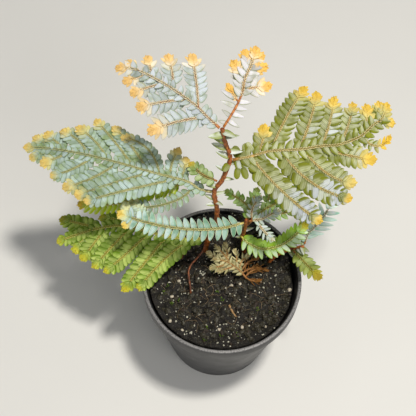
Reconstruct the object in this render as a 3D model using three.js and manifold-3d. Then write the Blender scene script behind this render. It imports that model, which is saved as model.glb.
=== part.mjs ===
// Potted peacock spikemoss: a round plastic nursery pot full of soil, rust-coloured stems
// with thin aerial roots, and flat fern-like fronds held out over the rim.
// Millimetres, +Z up. The origin is the middle of the pot's flat underside.
import * as THREE from "three";
import { mergeVertices } from "three/addons/utils/BufferGeometryUtils.js";
import Module from "manifold-3d";

const wasm = await Module();
wasm.setup();

// Gap between two pieces that touch.
const clearance = 0.3;

const pot = {
  height: 70,
  rimRadius: 40,
  lipHeight: 7,
  lipStep: 1.2,
  rounding: 0.6,
  wall: 1.6,
  baseRadius: 28,
  floor: 2.2,
  sides: 32,
  drainHoles: 6,
  drainRadius: 3,
  drainCircle: 18,
  holeSides: 10,
};

// Soil: its level, the heap at the back and the hollow on the right with the distances
// over which they grow, and how far it stays below the rim. A hole runs past its top.
const soil = {
  level: 67,
  backHeap: 6.5,
  heapFrom: 4,
  heapTo: 34,
  rightHollow: 3,
  hollowFrom: 16,
  hollowTo: 38,
  hollowSlant: 0.4,
  roughness: 0.5,
  belowRim: 0.5,
  rings: [8, 16, 24, 31],
  sectors: 24,
  holeBottom: 58,
  holeOverrun: 10,
  holeSlack: 0.2,
};

// Blades of leaflets: thickness, distance from leaflet to leaflet, depth of the cuts
// between them, how far a leaflet leans towards the tip, in leaflet pitches, and the
// bare neck of a side rib where it leaves the stalk.
const leaf = {
  thickness: 0.65,
  pitch: 3.8,
  notch: 0.36,
  lean: 1.15,
  shoulderLean: 0.6,
  shoulderWidth: 0.93,
  neck: 2.6,
  neckHalf: 0.5,
};

// How a blade's half width opens from its root and closes from closingFrom to its end.
const bladeOutline = { opening: 3, closingFrom: 0.6, closing: 0.5, closingPower: 1.6 };

// The round stalk of a spray and the peg of the dry tuft.
const stalk = { stepLength: 9, fewestSteps: 4, sides: 5 };
const pegTube = { steps: 4, sides: 6 };

// The droop by cup is reached this far off a spray's middle line.
const cupReach = 20;

// A single leaf on a stem: half width and foot as shares of its length, its roll and its
// rise in radians.
const stemLeaf = { halfShare: 0.24, footShare: 0.4, widestAt: 0.5, roll: 0.35, rise: 0.12 };

// Side ribs tilt like roof shingles, so that neighbouring blades pass over each other.
// They leave from the stalk's underside, and the stalk's own leaflets lie on its top.
const shingleAngle = THREE.MathUtils.degToRad(14);
const ribLift = -0.45;
const stalkLift = 0.45;

const colour = {
  blackPlastic: 0x26262a,
  darkSoil: 0x1d1712,
  rustStem: 0xa5501f,
  root: 0x8a451c,
  paleBlue: 0xa9c2bd,
  paleWhite: 0xc3cfd6,
  oliveGreen: 0x9aa850,
  tealGreen: 0x8fbfae,
  brightGreen: 0x86a92e,
  leafGreen: 0x6f9140,
  dryTan: 0xb79a63,
};

// Stems and aerial roots: the points that they pass, thickness at both ends, sides.
const stems = {
  main_stem: {
    points: [
      [-9.8, 14, 58.3], [-9.8, 14, 67], [-8.6, 14.9, 80], [-4.8, 16.7, 101],
      [-6.8, 20.1, 118], [-3.8, 22.2, 126], [-0.9, 26.8, 136], [-3.2, 29.3, 144], [-5.4, 31.4, 153],
    ],
    radii: [1.35, 0.95],
    sides: 7,
    steps: 15,
    colour: colour.rustStem,
    // Single leaves: place along the stem (0 to 1), compass direction in degrees, length.
    leaves: [
      [0.535, 200, 3.6], [0.55, 330, 3.4], [0.57, 170, 3.8],
      [0.835, 176, 5.2], [0.865, 8, 4.6], [0.885, 172, 5.4], [0.925, 168, 5.4],
      [0.95, 10, 5], [0.965, 205, 5.6], [0.985, 335, 5.4],
    ],
  },
  second_stem: {
    points: [[10.2, 15.5, 58.3], [10.2, 15.5, 68], [8.8, 15.6, 82], [9.1, 14.3, 105]],
    radii: [1.15, 0.8],
    sides: 7,
    steps: 9,
    colour: colour.rustStem,
  },
  side_stem: {
    points: [
      [23.7, 11.6, 58.3], [23.7, 11.6, 64], [23.8, 11.7, 69.5], [27.4, 13.7, 73.5],
      [32.9, 15.3, 76.5], [39.2, 15.1, 82],
    ],
    radii: [1, 0.7],
    sides: 7,
    steps: 9,
    colour: colour.rustStem,
  },
  front_root: {
    points: [
      [-9.8, 13.3, 77.6], [-10.6, 10.1, 77.2], [-13.7, 6.3, 75], [-16.3, 2, 74],
      [-16.6, -2.5, 73], [-15, -8.7, 70.5], [-14.7, -9.7, 66], [-14.7, -9.7, 58.3],
    ],
    radii: [0.5, 0.4],
    sides: 5,
    steps: 12,
    colour: colour.root,
  },
  left_root: {
    points: [[-17.4, 12.4, 80.9], [-18.8, 11.4, 76], [-21, 9.7, 70], [-21.2, 9.6, 66], [-21.2, 9.6, 58.3]],
    radii: [0.45, 0.4],
    sides: 5,
    steps: 7,
    colour: colour.root,
  },
};

// Fronds. Each lies in its own plane: it runs from root to end, and its face looks along
// facing. Sizes in the plane are [along, across] in millimetres. The plane bulges by arch
// halfway along and droops by cup 20 mm off the line. The stalk is a list of points, with
// leaflets of its own on its leafy stretches. A side rib is [place along the stalk, tip
// along, tip across, bow, own half width].
const fronds = {
  frond_left: {
    colour: colour.paleBlue,
    sprays: [
      {
        root: [-8.1, 20.3, 118],
        end: [-99.5, 37.5, 116],
        facing: [0.05, -0.3, 1],
        arch: 5,
        cup: 2.5,
        stalk: [[0, 0], [6, 0.4], [12, -1.4], [29, -1.3], [52, -2], [74, -1.8], [92.5, 0]],
        stalkRadii: [0.75, 0.4],
        leafy: [[3, 9], [79, 92.5]],
        stalkHalf: 2.4,
        half: 4,
        ribs: [
          [17, 55.5, 19, 0], [29.5, 60.5, 17.5, 0], [46, 67.5, 15, 2], [58, 75, 11, 1.5],
          [69, 81.5, 6.5, 0], [79, 88, 4.5, 0],
          [16, 16, -12.5, -1, 2.6], [20.5, 20, -16, 1, 2.6], [25.5, 47.5, -15, -4.5, 2.6],
          [31, 53, -19, -1, 2.8], [38, 62.5, -20.5, -0.5, 3.1], [50.5, 70, -15, -1.5],
          [60.5, 77, -11.5, -2], [71, 84.5, -9, 0], [79.5, 89.5, -6, 0],
        ],
      },
      {
        root: [-17, 21.4, 119.2],
        end: [-46, 16.6, 104],
        facing: [0.1, -0.5, 1],
        arch: 1.5,
        cup: 0,
        stalk: [[0, 0], [4, 2.6], [10, 3.8], [18, 3.6], [26, 2.3], [33.7, 0]],
        stalkRadii: [0.6, 0.4],
        leafy: [[4, 34]],
        stalkHalf: 3.4,
        half: 3.4,
        blunt: true,
        ribs: [],
      },
    ],
  },
  frond_left_low: {
    colour: colour.brightGreen,
    sprays: [
      {
        root: [-20.3, 23.3, 118.4],
        end: [-73, 21.5, 92],
        facing: [0.1, -0.35, 1],
        arch: -3,
        cup: 0,
        stalk: [[0, 0], [7.5, 1.4], [15, 1.8], [24.5, 2.5], [33, 3.9], [41.5, 3.9], [50, 2.6], [59, 0]],
        stalkRadii: [0.5, 0.4],
        leafy: [[8, 59]],
        stalkHalf: 3.6,
        half: 3.6,
        ribs: [],
      },
    ],
  },
  frond_small: {
    colour: colour.leafGreen,
    sprays: [
      {
        root: [-5.95, 22, 125],
        end: [-19, 29.5, 126],
        facing: [0, -0.35, 1],
        arch: 0,
        cup: 0,
        stalk: [[0, 0], [6, 1.2], [10.5, 0.9], [15, 0]],
        stalkRadii: [0.5, 0.4],
        leafy: [[2, 15]],
        stalkHalf: 3.6,
        half: 3.6,
        ribs: [],
      },
    ],
  },
  frond_upper_left: {
    colour: colour.paleWhite,
    sprays: [
      {
        root: [-6.6, 32.2, 152.2],
        end: [-54.5, 56, 158],
        facing: [0, -0.38, 1],
        arch: 3,
        cup: 2,
        stalk: [[0, 0], [6, -1], [12, -2.5], [18, -3.2], [27, -3.8], [37, -3.8], [45.5, -3.2], [53.5, 0]],
        stalkRadii: [0.7, 0.4],
        leafy: [[2.5, 12], [44, 53.5]],
        stalkHalf: 4.2,
        half: 5.4,
        ribs: [
          [7, 25, 17.5, -1], [18.5, 35, 11, -0.5], [31, 41, 7, -0.5], [40, 47, 4, 0],
          [12.5, 28, -22, -0.5], [26.5, 37, -16, -1], [36.5, 44.5, -11, 0], [44.5, 51, -5, 0],
        ],
      },
    ],
  },
  frond_upper_right: {
    colour: colour.paleWhite,
    sprays: [
      {
        root: [-4.85, 32.8, 152.3],
        end: [7, 67.5, 164],
        facing: [0.15, -0.45, 1],
        arch: 2,
        cup: 1,
        stalk: [[0, 0], [5.5, -0.8], [12.5, -1.5], [17.5, -1.2], [23, 0], [29.5, -0.3], [37.5, 0]],
        stalkRadii: [0.65, 0.4],
        leafy: [[3, 37.5]],
        stalkHalf: 4.3,
        half: 4.3,
        ribs: [
          [23.5, 28.5, 7.5, 0], [28.5, 35, 4, 0], [31.5, 36.5, -2.5, 0],
          [27, 32, -6, 0.5], [18.5, 24.5, -11, 0.5],
        ],
      },
    ],
  },
  frond_right: {
    colour: colour.oliveGreen,
    sprays: [
      {
        root: [0.3, 27, 136],
        end: [70, 63.5, 138],
        facing: [0.02, -0.36, 1],
        arch: 5,
        cup: 3,
        stalk: [
          [0, 0], [7.5, -1.7], [16.5, -2.7], [29, -6.7], [39.5, -8.8],
          [47.5, -10.8], [58.5, -10.3], [66.5, -7.4], [72.5, -5.5], [78.5, 0],
        ],
        stalkRadii: [0.75, 0.4],
        leafy: [[3, 8], [72, 80]],
        stalkHalf: 3,
        half: 4.7,
        ribs: [
          [11, 18.5, 9.5, -1], [17, 44, 20, 1], [30, 48, 15.5, -0.5], [40.5, 54.5, 10.5, -0.5],
          [49.5, 62, 5, -0.5], [61, 68, 2.5, -1], [68.5, 75, 2, -1], [73, 77.5, -9.5, 0.5],
          [8, 28.5, -39, -2.5], [21.5, 45, -34.5, -4.5], [33, 46, -23.5, -3],
          [46, 61.5, -23.5, -1.5], [60.5, 73.5, -14, -4],
        ],
      },
    ],
  },
  frond_front: {
    colour: colour.tealGreen,
    sprays: [
      {
        root: [8, 13.4, 103.6],
        end: [-50.5, 10, 108],
        facing: [0, -0.32, 1],
        arch: 1,
        cup: 0,
        stalk: [[0, 0], [8.5, 3.1], [18, 4.8], [27.5, 5.2], [37, 4.7], [46.5, 3.2], [53, 1.6], [59, 0]],
        stalkRadii: [0.6, 0.4],
        leafy: [[3, 59]],
        stalkHalf: 5,
        half: 5,
        blunt: true,
        ribs: [[52, 56.5, 5.5, 0]],
      },
    ],
  },
  frond_centre: {
    colour: colour.tealGreen,
    sprays: [
      {
        root: [10.4, 14.9, 103],
        end: [25, 20, 106],
        facing: [0, -0.35, 1],
        arch: 1,
        cup: 0,
        stalk: [[0, 0], [6, -1.1], [11.5, -0.2], [15.5, 0]],
        stalkRadii: [0.55, 0.4],
        leafy: [[2.5, 15.5]],
        stalkHalf: 3,
        half: 3.2,
        blunt: true,
        ribs: [[1.5, 9, 9.2, 1.8], [3.4, 8.2, -12.2, -0.5]],
      },
    ],
  },
  frond_back: {
    colour: colour.leafGreen,
    sprays: [
      {
        root: [9.9, 16.2, 96.5],
        end: [-2, 30, 104],
        facing: [0, -0.35, 1],
        arch: 1,
        cup: 0,
        stalk: [[0, 0], [4.5, -3.8], [7.6, -5.2], [13.2, -3.1], [19.4, 0]],
        stalkRadii: [0.55, 0.4],
        leafy: [[5, 20]],
        stalkHalf: 3.2,
        half: 3.4,
        ribs: [[6.3, 12, -13.7, 0.4]],
      },
      {
        root: [9.9, 16.2, 96.5],
        end: [35.5, 37.5, 104],
        facing: [0.05, -0.3, 1],
        arch: 2,
        cup: 0,
        stalk: [[0, 0], [9.3, 0.9], [17, 0.1], [25.3, -0.3], [34.3, 0]],
        stalkRadii: [0.55, 0.4],
        leafy: [[11, 35]],
        stalkHalf: 3.2,
        half: 3.4,
        ribs: [[7.7, 23, -7.8, -1.1], [11.2, 21, 8.7, -0.5]],
      },
    ],
  },
  frond_curved: {
    colour: colour.brightGreen,
    sprays: [
      {
        root: [7.2, 14.2, 89],
        end: [39, 20, 96],
        facing: [0, -0.6, 1],
        arch: 0,
        cup: 0,
        stalk: [[0, 0], [3.6, -4.6], [9, -8], [15.8, -8.4], [23, -6.3], [32.5, 0]],
        stalkRadii: [0.55, 0.4],
        leafy: [[2, 34]],
        stalkHalf: 4.4,
        half: 4.4,
        blunt: true,
        ribs: [],
      },
    ],
  },
  frond_low_right: {
    colour: colour.leafGreen,
    sprays: [
      {
        root: [34.3, 13.9, 78],
        end: [48, -0.7, 79],
        facing: [0.1, -0.2, 1],
        arch: 1,
        cup: 0,
        stalk: [[0, 0], [10.8, -0.4], [20, 0]],
        stalkRadii: [0.5, 0.4],
        leafy: [[2, 20]],
        stalkHalf: 4.2,
        half: 4.2,
        blunt: true,
        ribs: [],
      },
    ],
  },
  frond_far_right: {
    colour: colour.paleBlue,
    sprays: [
      {
        root: [39.4, 16, 82.7],
        end: [51, 32.4, 97],
        facing: [0.1, -0.3, 1],
        arch: 1,
        cup: 0,
        stalk: [[0, 0], [5.4, 1.4], [11, 0.5], [17, 0], [24, 0.3]],
        stalkRadii: [0.5, 0.4],
        leafy: [[2, 24]],
        stalkHalf: 5.4,
        half: 5.4,
        blunt: true,
        ribs: [],
      },
    ],
  },
  frond_low_left: {
    colour: colour.brightGreen,
    sprays: [
      {
        root: [-9.9, 14.4, 82],
        end: [-85, 10, 73],
        facing: [0, -0.25, 1],
        arch: 4,
        cup: 3,
        stalk: [[0, 0], [12, 0.2], [24.5, -2.3], [34.5, -4.9], [43, -6.7], [56.5, -5.1], [75, 0]],
        stalkRadii: [0.65, 0.4],
        leafy: [[3, 8], [58, 75.5]],
        stalkHalf: 3,
        half: 4.3,
        ribs: [
          [7.5, 33, 24.5, -1.2], [19, 40.5, 25, 0], [28, 49.5, 16, 0.6], [38, 55.5, 13.5, 0],
          [51, 62, 9.5, 0.5], [59, 65.5, 6, -1],
          [40, 53, -11.5, -1.6], [53, 74.5, -12.5, 0.4],
        ],
      },
    ],
  },
  dry_tuft: {
    colour: colour.dryTan,
    peg: { points: [[12.5, 0.2, 60], [12.5, 0.2, 67], [12.3, 0.3, 71]], radii: [0.7, 0.6] },
    sprays: [
      {
        root: [12.4, 0.2, 70.5],
        end: [-5, 5.7, 78.5],
        facing: [0, -0.25, 1],
        arch: 0,
        cup: 0,
        stalk: [[0, 0], [5.5, -1.5], [12.5, -2], [20, 0]],
        stalkRadii: [0.6, 0.4],
        leafy: [[6, 20]],
        stalkHalf: 2,
        half: 2,
        ribs: [
          [1, -8, -9, 2.3], [4.3, -0.5, -12, 1.6], [8.3, 12.5, -9.5, -1],
          [9, 15, 4.2, 0.2],
        ],
      },
    ],
  },
};

// A closed geometry as a solid that can be joined and cut.
function solidOf(geometry) {
  const bare = geometry.clone();
  bare.deleteAttribute("normal");
  bare.deleteAttribute("uv");
  const merged = mergeVertices(bare, 1e-4);
  const vertProperties = new Float32Array(merged.attributes.position.array);
  const triVerts = new Uint32Array(merged.index.array);
  return new wasm.Manifold(new wasm.Mesh({ numProp: 3, vertProperties, triVerts }));
}

function geometryOf(solid) {
  const mesh = solid.getMesh();
  const geometry = new THREE.BufferGeometry();
  geometry.setAttribute("position", new THREE.BufferAttribute(new Float32Array(mesh.vertProperties), 3));
  geometry.setIndex(new THREE.BufferAttribute(new Uint32Array(mesh.triVerts), 1));
  return geometry;
}

function joinAll(geometries) {
  return geometries.map(solidOf).reduce((whole, next) => whole.add(next));
}

function indexedGeometry(points, faces) {
  const geometry = new THREE.BufferGeometry().setFromPoints(points);
  geometry.setIndex(faces.flat());
  return geometry;
}

// A round tube along a curve, thinning from its first radius to its second.
function taperedTube(curve, [startRadius, endRadius], sides, steps) {
  const frames = curve.computeFrenetFrames(steps, false);
  const points = [];
  const faces = [];
  for (let step = 0; step <= steps; step += 1) {
    const t = step / steps;
    const centre = curve.getPointAt(t);
    const radius = THREE.MathUtils.lerp(startRadius, endRadius, t);
    for (let side = 0; side < sides; side += 1) {
      const turn = (side / sides) * Math.PI * 2;
      points.push(centre.clone()
        .addScaledVector(frames.normals[step], radius * Math.cos(turn))
        .addScaledVector(frames.binormals[step], radius * Math.sin(turn)));
    }
  }
  for (let step = 0; step < steps; step += 1) {
    for (let side = 0; side < sides; side += 1) {
      const a = step * sides + side;
      const b = step * sides + ((side + 1) % sides);
      faces.push([a, b, b + sides], [a, b + sides, a + sides]);
    }
  }
  const last = steps * sides;
  for (let side = 1; side < sides - 1; side += 1) {
    faces.push([0, side + 1, side], [last, last + side, last + side + 1]);
  }
  return indexedGeometry(points, faces);
}

// Turns sizes in a spray's bulging plane into points of the part.
function sprayPlacer({ root, end, facing, arch, cup }) {
  const start = new THREE.Vector3(...root);
  const along = new THREE.Vector3(...end).sub(start);
  const length = along.length();
  along.normalize();
  const face = new THREE.Vector3(...facing);
  face.addScaledVector(along, -face.dot(along)).normalize();
  const across = new THREE.Vector3().crossVectors(face, along);
  return (u, v, lift) => {
    const t = u / length;
    const bulge = arch * 4 * t * (1 - t) - cup * (v / cupReach) ** 2;
    return start.clone()
      .addScaledVector(along, u)
      .addScaledVector(across, v)
      .addScaledVector(face, bulge + lift);
  };
}

// Half width of a blade at t, from a narrow root to a narrower, rounded tip.
function bladeHalf(t, rootShare) {
  const { opening, closingFrom, closing, closingPower } = bladeOutline;
  const opened = Math.min(1, rootShare + opening * (1 - rootShare) * t);
  const past = Math.max(0, (t - closingFrom) / (1 - closingFrom));
  return opened * (1 - closing * past ** closingPower);
}

// One thin blade, its edges cut into leaflets nearly to the rib. Both faces have the same
// triangles. The leaflets stand between two distances along the rib, from and to.
function leafletBlade(place, rib, { half, rootShare, from, to, neckHalf, lift, tilt, blunt }) {
  const length = rib.getLength();
  const count = Math.max(2, Math.round((to - from) / leaf.pitch));
  const outline = [];
  const addPoint = (t, side, share) => {
    const distance = THREE.MathUtils.lerp(from, to, t);
    const along = rib.getPointAt(Math.min(distance / length, 1));
    const ahead = rib.getTangentAt(Math.min(distance / length, 1));
    const past = Math.max(0, distance - length);
    const offset = side * share * half * bladeHalf(Math.min(t, 1), rootShare);
    const u = along.x + ahead.x * past - ahead.y * offset;
    const v = along.y + ahead.y * past + ahead.x * offset;
    outline.push({ u, v, rise: lift + offset * Math.tan(tilt) });
    return outline.length - 1;
  };
  const addNeckPoint = (side) => {
    const foot = rib.getPointAt(0);
    const ahead = rib.getTangentAt(0);
    const offset = side * neckHalf;
    outline.push({ u: foot.x - ahead.y * offset, v: foot.y + ahead.x * offset, rise: lift });
    return outline.length - 1;
  };
  const top = [];
  const edges = { left: [], right: [] };
  const notches = { left: [], right: [] };
  for (const [name, side] of [["left", 1], ["right", -1]]) {
    if (neckHalf) {
      edges[name].push(addNeckPoint(side));
    }
    for (let cut = 0; cut < count; cut += 1) {
      const notch = addPoint(cut / count, side, leaf.notch);
      notches[name].push(notch);
      edges[name].push(notch);
      if (blunt) {
        edges[name].push(addPoint((cut + leaf.shoulderLean) / count, side, leaf.shoulderWidth));
      }
      edges[name].push(addPoint((cut + leaf.lean) / count, side, 1));
    }
  }
  const tip = addPoint(1 + 0.5 / count, 1, 0);
  const step = blunt ? 3 : 2;
  const skipped = neckHalf ? 1 : 0;
  for (const [name, flip] of [["left", false], ["right", true]]) {
    const edge = [...edges[name], tip];
    for (let cut = 0; cut < count; cut += 1) {
      const first = skipped + cut * step;
      for (let fan = 1; fan < step; fan += 1) {
        const triangle = [edge[first + fan - 1], edge[first + fan], edge[first + step]];
        top.push(flip ? triangle : [triangle[1], triangle[0], triangle[2]]);
      }
    }
  }
  const spine = notches.left.map((left, cut) => [left, notches.right[cut]]);
  if (neckHalf) {
    spine.unshift([edges.left[0], edges.right[0]]);
  }
  for (let cell = 0; cell < spine.length - 1; cell += 1) {
    const [a, b] = spine[cell];
    const [d, c] = spine[cell + 1];
    top.push([a, b, c], [a, c, d]);
  }
  top.push([notches.left[count - 1], notches.right[count - 1], tip]);
  return thickened(place, outline, top, [...edges.right, tip, ...[...edges.left].reverse()]);
}

// A flat set of triangles given leaf thickness. border runs once round the outline.
function thickened(place, outline, top, border) {
  const total = outline.length;
  const halfThickness = leaf.thickness / 2;
  const upper = outline.map(({ u, v, rise }) => place(u, v, rise + halfThickness));
  const lower = outline.map(({ u, v, rise }) => place(u, v, rise - halfThickness));
  const faces = [];
  for (const [a, b, c] of top) {
    faces.push([a, b, c], [a + total, c + total, b + total]);
  }
  border.forEach((from, index) => {
    const to = border[(index + 1) % border.length];
    faces.push([from, from + total, to + total], [from, to + total, to]);
  });
  return indexedGeometry([...upper, ...lower], faces);
}

// The round stalk of a spray, on its bulging plane.
function stalkTube(place, line, radii) {
  const steps = Math.max(stalk.fewestSteps, Math.round(line.getLength() / stalk.stepLength));
  const path = line.getSpacedPoints(steps).map(({ x, y }) => place(x, y, 0));
  return taperedTube(new THREE.CatmullRomCurve3(path), radii, stalk.sides, steps);
}

// A side rib from the stalk to its tip, bowed by bow at its middle.
function sideRib(line, [at, tipU, tipV, bow]) {
  const base = line.getPointAt(at / line.getLength());
  const tip = new THREE.Vector2(tipU, tipV);
  const chord = tip.clone().sub(base);
  const square = new THREE.Vector2(-chord.y, chord.x).normalize();
  const middle = base.clone().add(tip).multiplyScalar(0.5).addScaledVector(square, 2 * bow);
  return new THREE.QuadraticBezierCurve(base, middle, tip);
}

function sprayPieces(spray) {
  const place = sprayPlacer(spray);
  const line = new THREE.SplineCurve(spray.stalk.map(([u, v]) => new THREE.Vector2(u, v)));
  const pieces = [stalkTube(place, line, spray.stalkRadii)];
  for (const [from, to] of spray.leafy) {
    pieces.push(leafletBlade(place, line, {
      half: spray.stalkHalf,
      rootShare: 0.85,
      from,
      to,
      neckHalf: 0,
      lift: stalkLift,
      tilt: 0,
      blunt: spray.blunt,
    }));
  }
  for (const rib of spray.ribs) {
    const curve = sideRib(line, rib);
    const outward = Math.sign(rib[2] - curve.v0.y);
    pieces.push(leafletBlade(place, curve, {
      half: rib[4] ?? spray.half,
      rootShare: 0.5,
      from: leaf.neck,
      to: curve.getLength(),
      neckHalf: leaf.neckHalf,
      lift: ribLift,
      tilt: -outward * shingleAngle,
      blunt: spray.blunt,
    }));
  }
  return pieces;
}

function frondGeometry({ sprays, peg }) {
  const pieces = sprays.flatMap(sprayPieces);
  if (peg) {
    pieces.push(taperedTube(curveThrough(peg.points), peg.radii, pegTube.sides, pegTube.steps));
  }
  return geometryOf(joinAll(pieces));
}

function curveThrough(points) {
  return new THREE.CatmullRomCurve3(points.map((point) => new THREE.Vector3(...point)));
}

// One pointed oval leaf, standing out level from a stem in a compass direction.
function singleLeaf(base, degrees, length) {
  const half = length * stemLeaf.halfShare;
  const foot = half * stemLeaf.footShare;
  const middle = length * stemLeaf.widestAt;
  const shape = new THREE.Shape([
    new THREE.Vector2(0, -foot), new THREE.Vector2(middle, -half), new THREE.Vector2(length, 0),
    new THREE.Vector2(middle, half), new THREE.Vector2(0, foot),
  ]);
  const geometry = new THREE.ExtrudeGeometry(shape, { depth: leaf.thickness, bevelEnabled: false });
  geometry.translate(0, 0, -leaf.thickness / 2);
  geometry.rotateX(stemLeaf.roll);
  geometry.rotateY(-stemLeaf.rise);
  geometry.rotateZ(THREE.MathUtils.degToRad(degrees));
  geometry.translate(base.x, base.y, base.z);
  return geometry;
}

function stemGeometry({ points, radii, sides, steps, leaves = [] }) {
  const curve = curveThrough(points);
  const tube = taperedTube(curve, radii, sides, steps);
  const blades = leaves.map(([share, degrees, length]) => {
    const reach = THREE.MathUtils.lerp(radii[0], radii[1], share);
    return singleLeaf(curve.getPointAt(share), degrees, length + reach);
  });
  return geometryOf(joinAll([tube, ...blades]));
}

// Radius of the pot's inner wall at a height.
function innerRadius(z) {
  const share = (z - pot.floor) / (pot.height - pot.floor);
  const top = pot.rimRadius - pot.lipStep - pot.wall;
  return THREE.MathUtils.lerp(pot.baseRadius - pot.wall, top, share);
}

// The tapered pot with its stepped, rounded lip and the drain holes in its floor.
function potGeometry() {
  const { height, rimRadius, lipHeight, lipStep, rounding, baseRadius, floor } = pot;
  const profile = [
    [0, 0], [baseRadius, 0],
    [rimRadius - lipStep, height - lipHeight], [rimRadius, height - lipHeight + rounding],
    [rimRadius, height - rounding], [rimRadius - rounding, height],
    [innerRadius(height) + rounding, height], [innerRadius(height - rounding), height - rounding],
    [innerRadius(floor), floor], [0, floor],
  ].map(([x, y]) => new THREE.Vector2(x, y));
  const shell = new THREE.LatheGeometry(profile, pot.sides);
  shell.rotateX(Math.PI / 2);
  let solid = solidOf(shell);
  for (let hole = 0; hole < pot.drainHoles; hole += 1) {
    const turn = ((hole + 0.5) / pot.drainHoles) * Math.PI * 2;
    const depth = floor * 3;
    const drill = new THREE.CylinderGeometry(pot.drainRadius, pot.drainRadius, depth, pot.holeSides);
    drill.rotateX(Math.PI / 2);
    drill.translate(pot.drainCircle * Math.cos(turn), pot.drainCircle * Math.sin(turn), floor / 2);
    solid = solid.subtract(solidOf(drill));
  }
  return geometryOf(solid);
}

// Height of the soil: heaped at the back, lower on the right, uneven all over.
function soilHeight(x, y) {
  const heap = soil.backHeap * THREE.MathUtils.smoothstep(y, soil.heapFrom, soil.heapTo);
  const rightward = x - soil.hollowSlant * y;
  const hollow = soil.rightHollow * THREE.MathUtils.smoothstep(rightward, soil.hollowFrom, soil.hollowTo);
  const bumps = Math.sin(x * 0.9 + y * 0.4) + Math.sin(y * 0.7 - x * 0.5 + 1.3);
  return soil.level + heap - hollow + soil.roughness * bumps;
}

// The soil fills the pot to its wall, with a plain hole for each stem.
function soilGeometry() {
  const { sectors, rings } = soil;
  const foot = pot.floor + clearance;
  const points = [new THREE.Vector3(0, 0, soilHeight(0, 0))];
  const addRing = (radiusAt, heightAt) => {
    for (let sector = 0; sector < sectors; sector += 1) {
      const turn = (sector / sectors) * Math.PI * 2;
      const radius = radiusAt(turn);
      const [x, y] = [radius * Math.cos(turn), radius * Math.sin(turn)];
      points.push(new THREE.Vector3(x, y, heightAt(turn, x, y)));
    }
  };
  const facet = Math.cos(Math.PI / pot.sides);
  const wallRadius = (z) => innerRadius(z) * facet - clearance;
  const edgeHeight = (turn) => {
    const reach = wallRadius(soil.level);
    const height = soilHeight(reach * Math.cos(turn), reach * Math.sin(turn));
    return Math.min(height, pot.height - soil.belowRim);
  };
  rings.forEach((radius) => addRing(() => radius, (turn, x, y) => soilHeight(x, y)));
  addRing((turn) => wallRadius(edgeHeight(turn)), edgeHeight);
  addRing(() => wallRadius(foot), () => foot);
  points.push(new THREE.Vector3(0, 0, foot));
  const faces = [];
  const lastRing = rings.length + 1;
  for (let sector = 0; sector < sectors; sector += 1) {
    const next = (sector + 1) % sectors;
    faces.push([0, 1 + sector, 1 + next]);
    for (let ring = 0; ring < lastRing; ring += 1) {
      const a = 1 + ring * sectors + sector;
      const b = 1 + ring * sectors + next;
      faces.push([a, a + sectors, b + sectors], [a, b + sectors, b]);
    }
    const low = 1 + lastRing * sectors;
    faces.push([points.length - 1, low + next, low + sector]);
  }
  let solid = solidOf(indexedGeometry(points, faces));
  for (const { x, y, radius } of soilHoles()) {
    const depth = pot.height - soil.holeBottom + soil.holeOverrun;
    const drill = new THREE.CylinderGeometry(radius, radius, depth, pot.holeSides);
    drill.rotateX(Math.PI / 2);
    drill.translate(x, y, soil.holeBottom + depth / 2);
    solid = solid.subtract(solidOf(drill));
  }
  return geometryOf(solid);
}

// Where each stem, root and dry stalk goes into the soil.
function soilHoles() {
  const pegs = [...Object.values(stems), ...Object.values(fronds).map(({ peg }) => peg)];
  return pegs.filter(Boolean).map(({ points, radii }) => {
    const lowest = points.reduce((low, point) => (point[2] < low[2] ? point : low));
    return { x: lowest[0], y: lowest[1], radius: Math.max(...radii) + clearance + soil.holeSlack };
  });
}

function material(hex, roughness) {
  return new THREE.MeshStandardMaterial({ color: hex, roughness, metalness: 0 });
}

function addNode(group, name, geometry, finish) {
  const mesh = new THREE.Mesh(geometry, finish);
  mesh.name = name;
  group.add(mesh);
}

const plant = new THREE.Group();
addNode(plant, "pot", potGeometry(), material(colour.blackPlastic, 0.45));
addNode(plant, "soil", soilGeometry(), material(colour.darkSoil, 0.95));
for (const [name, stem] of Object.entries(stems)) {
  addNode(plant, name, stemGeometry(stem), material(stem.colour, 0.6));
}
for (const [name, frond] of Object.entries(fronds)) {
  addNode(plant, name, frondGeometry(frond), material(frond.colour, 0.5));
}

export default plant;
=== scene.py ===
import math

import bpy
import numpy as np
from mathutils import Matrix


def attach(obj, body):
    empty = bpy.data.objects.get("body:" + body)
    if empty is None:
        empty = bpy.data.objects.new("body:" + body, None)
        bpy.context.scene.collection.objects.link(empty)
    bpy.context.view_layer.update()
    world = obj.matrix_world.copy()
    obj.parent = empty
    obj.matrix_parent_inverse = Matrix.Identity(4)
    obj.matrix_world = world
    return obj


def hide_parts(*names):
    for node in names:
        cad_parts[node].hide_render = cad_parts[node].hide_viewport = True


mm = 0.001
fullTurn = 2 * math.pi
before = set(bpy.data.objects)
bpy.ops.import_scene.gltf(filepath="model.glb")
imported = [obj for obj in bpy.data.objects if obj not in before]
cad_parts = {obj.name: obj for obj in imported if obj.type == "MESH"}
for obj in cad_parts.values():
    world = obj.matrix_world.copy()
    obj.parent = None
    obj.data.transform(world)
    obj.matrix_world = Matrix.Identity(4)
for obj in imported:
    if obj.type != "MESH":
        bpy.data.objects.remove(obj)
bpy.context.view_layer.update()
random = np.random.default_rng(41)


def unit(vectors):
    return vectors / np.maximum(np.linalg.norm(vectors, axis=-1, keepdims=True), 1e-9)


# Vectors leaned over until they are square to an axis.
def squareTo(vectors, axis):
    return unit(vectors - np.sum(vectors * axis, axis=-1, keepdims=True) * axis)


def smoothStep(value, low, high):
    t = np.clip((value - low) / (high - low), 0, 1)
    return t * t * (3 - 2 * t)


# Values spaced evenly from 0 to 1, read at the shares between them.
def atShares(values, shares):
    return np.interp(shares, np.linspace(0, 1, len(values)), values)


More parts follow.
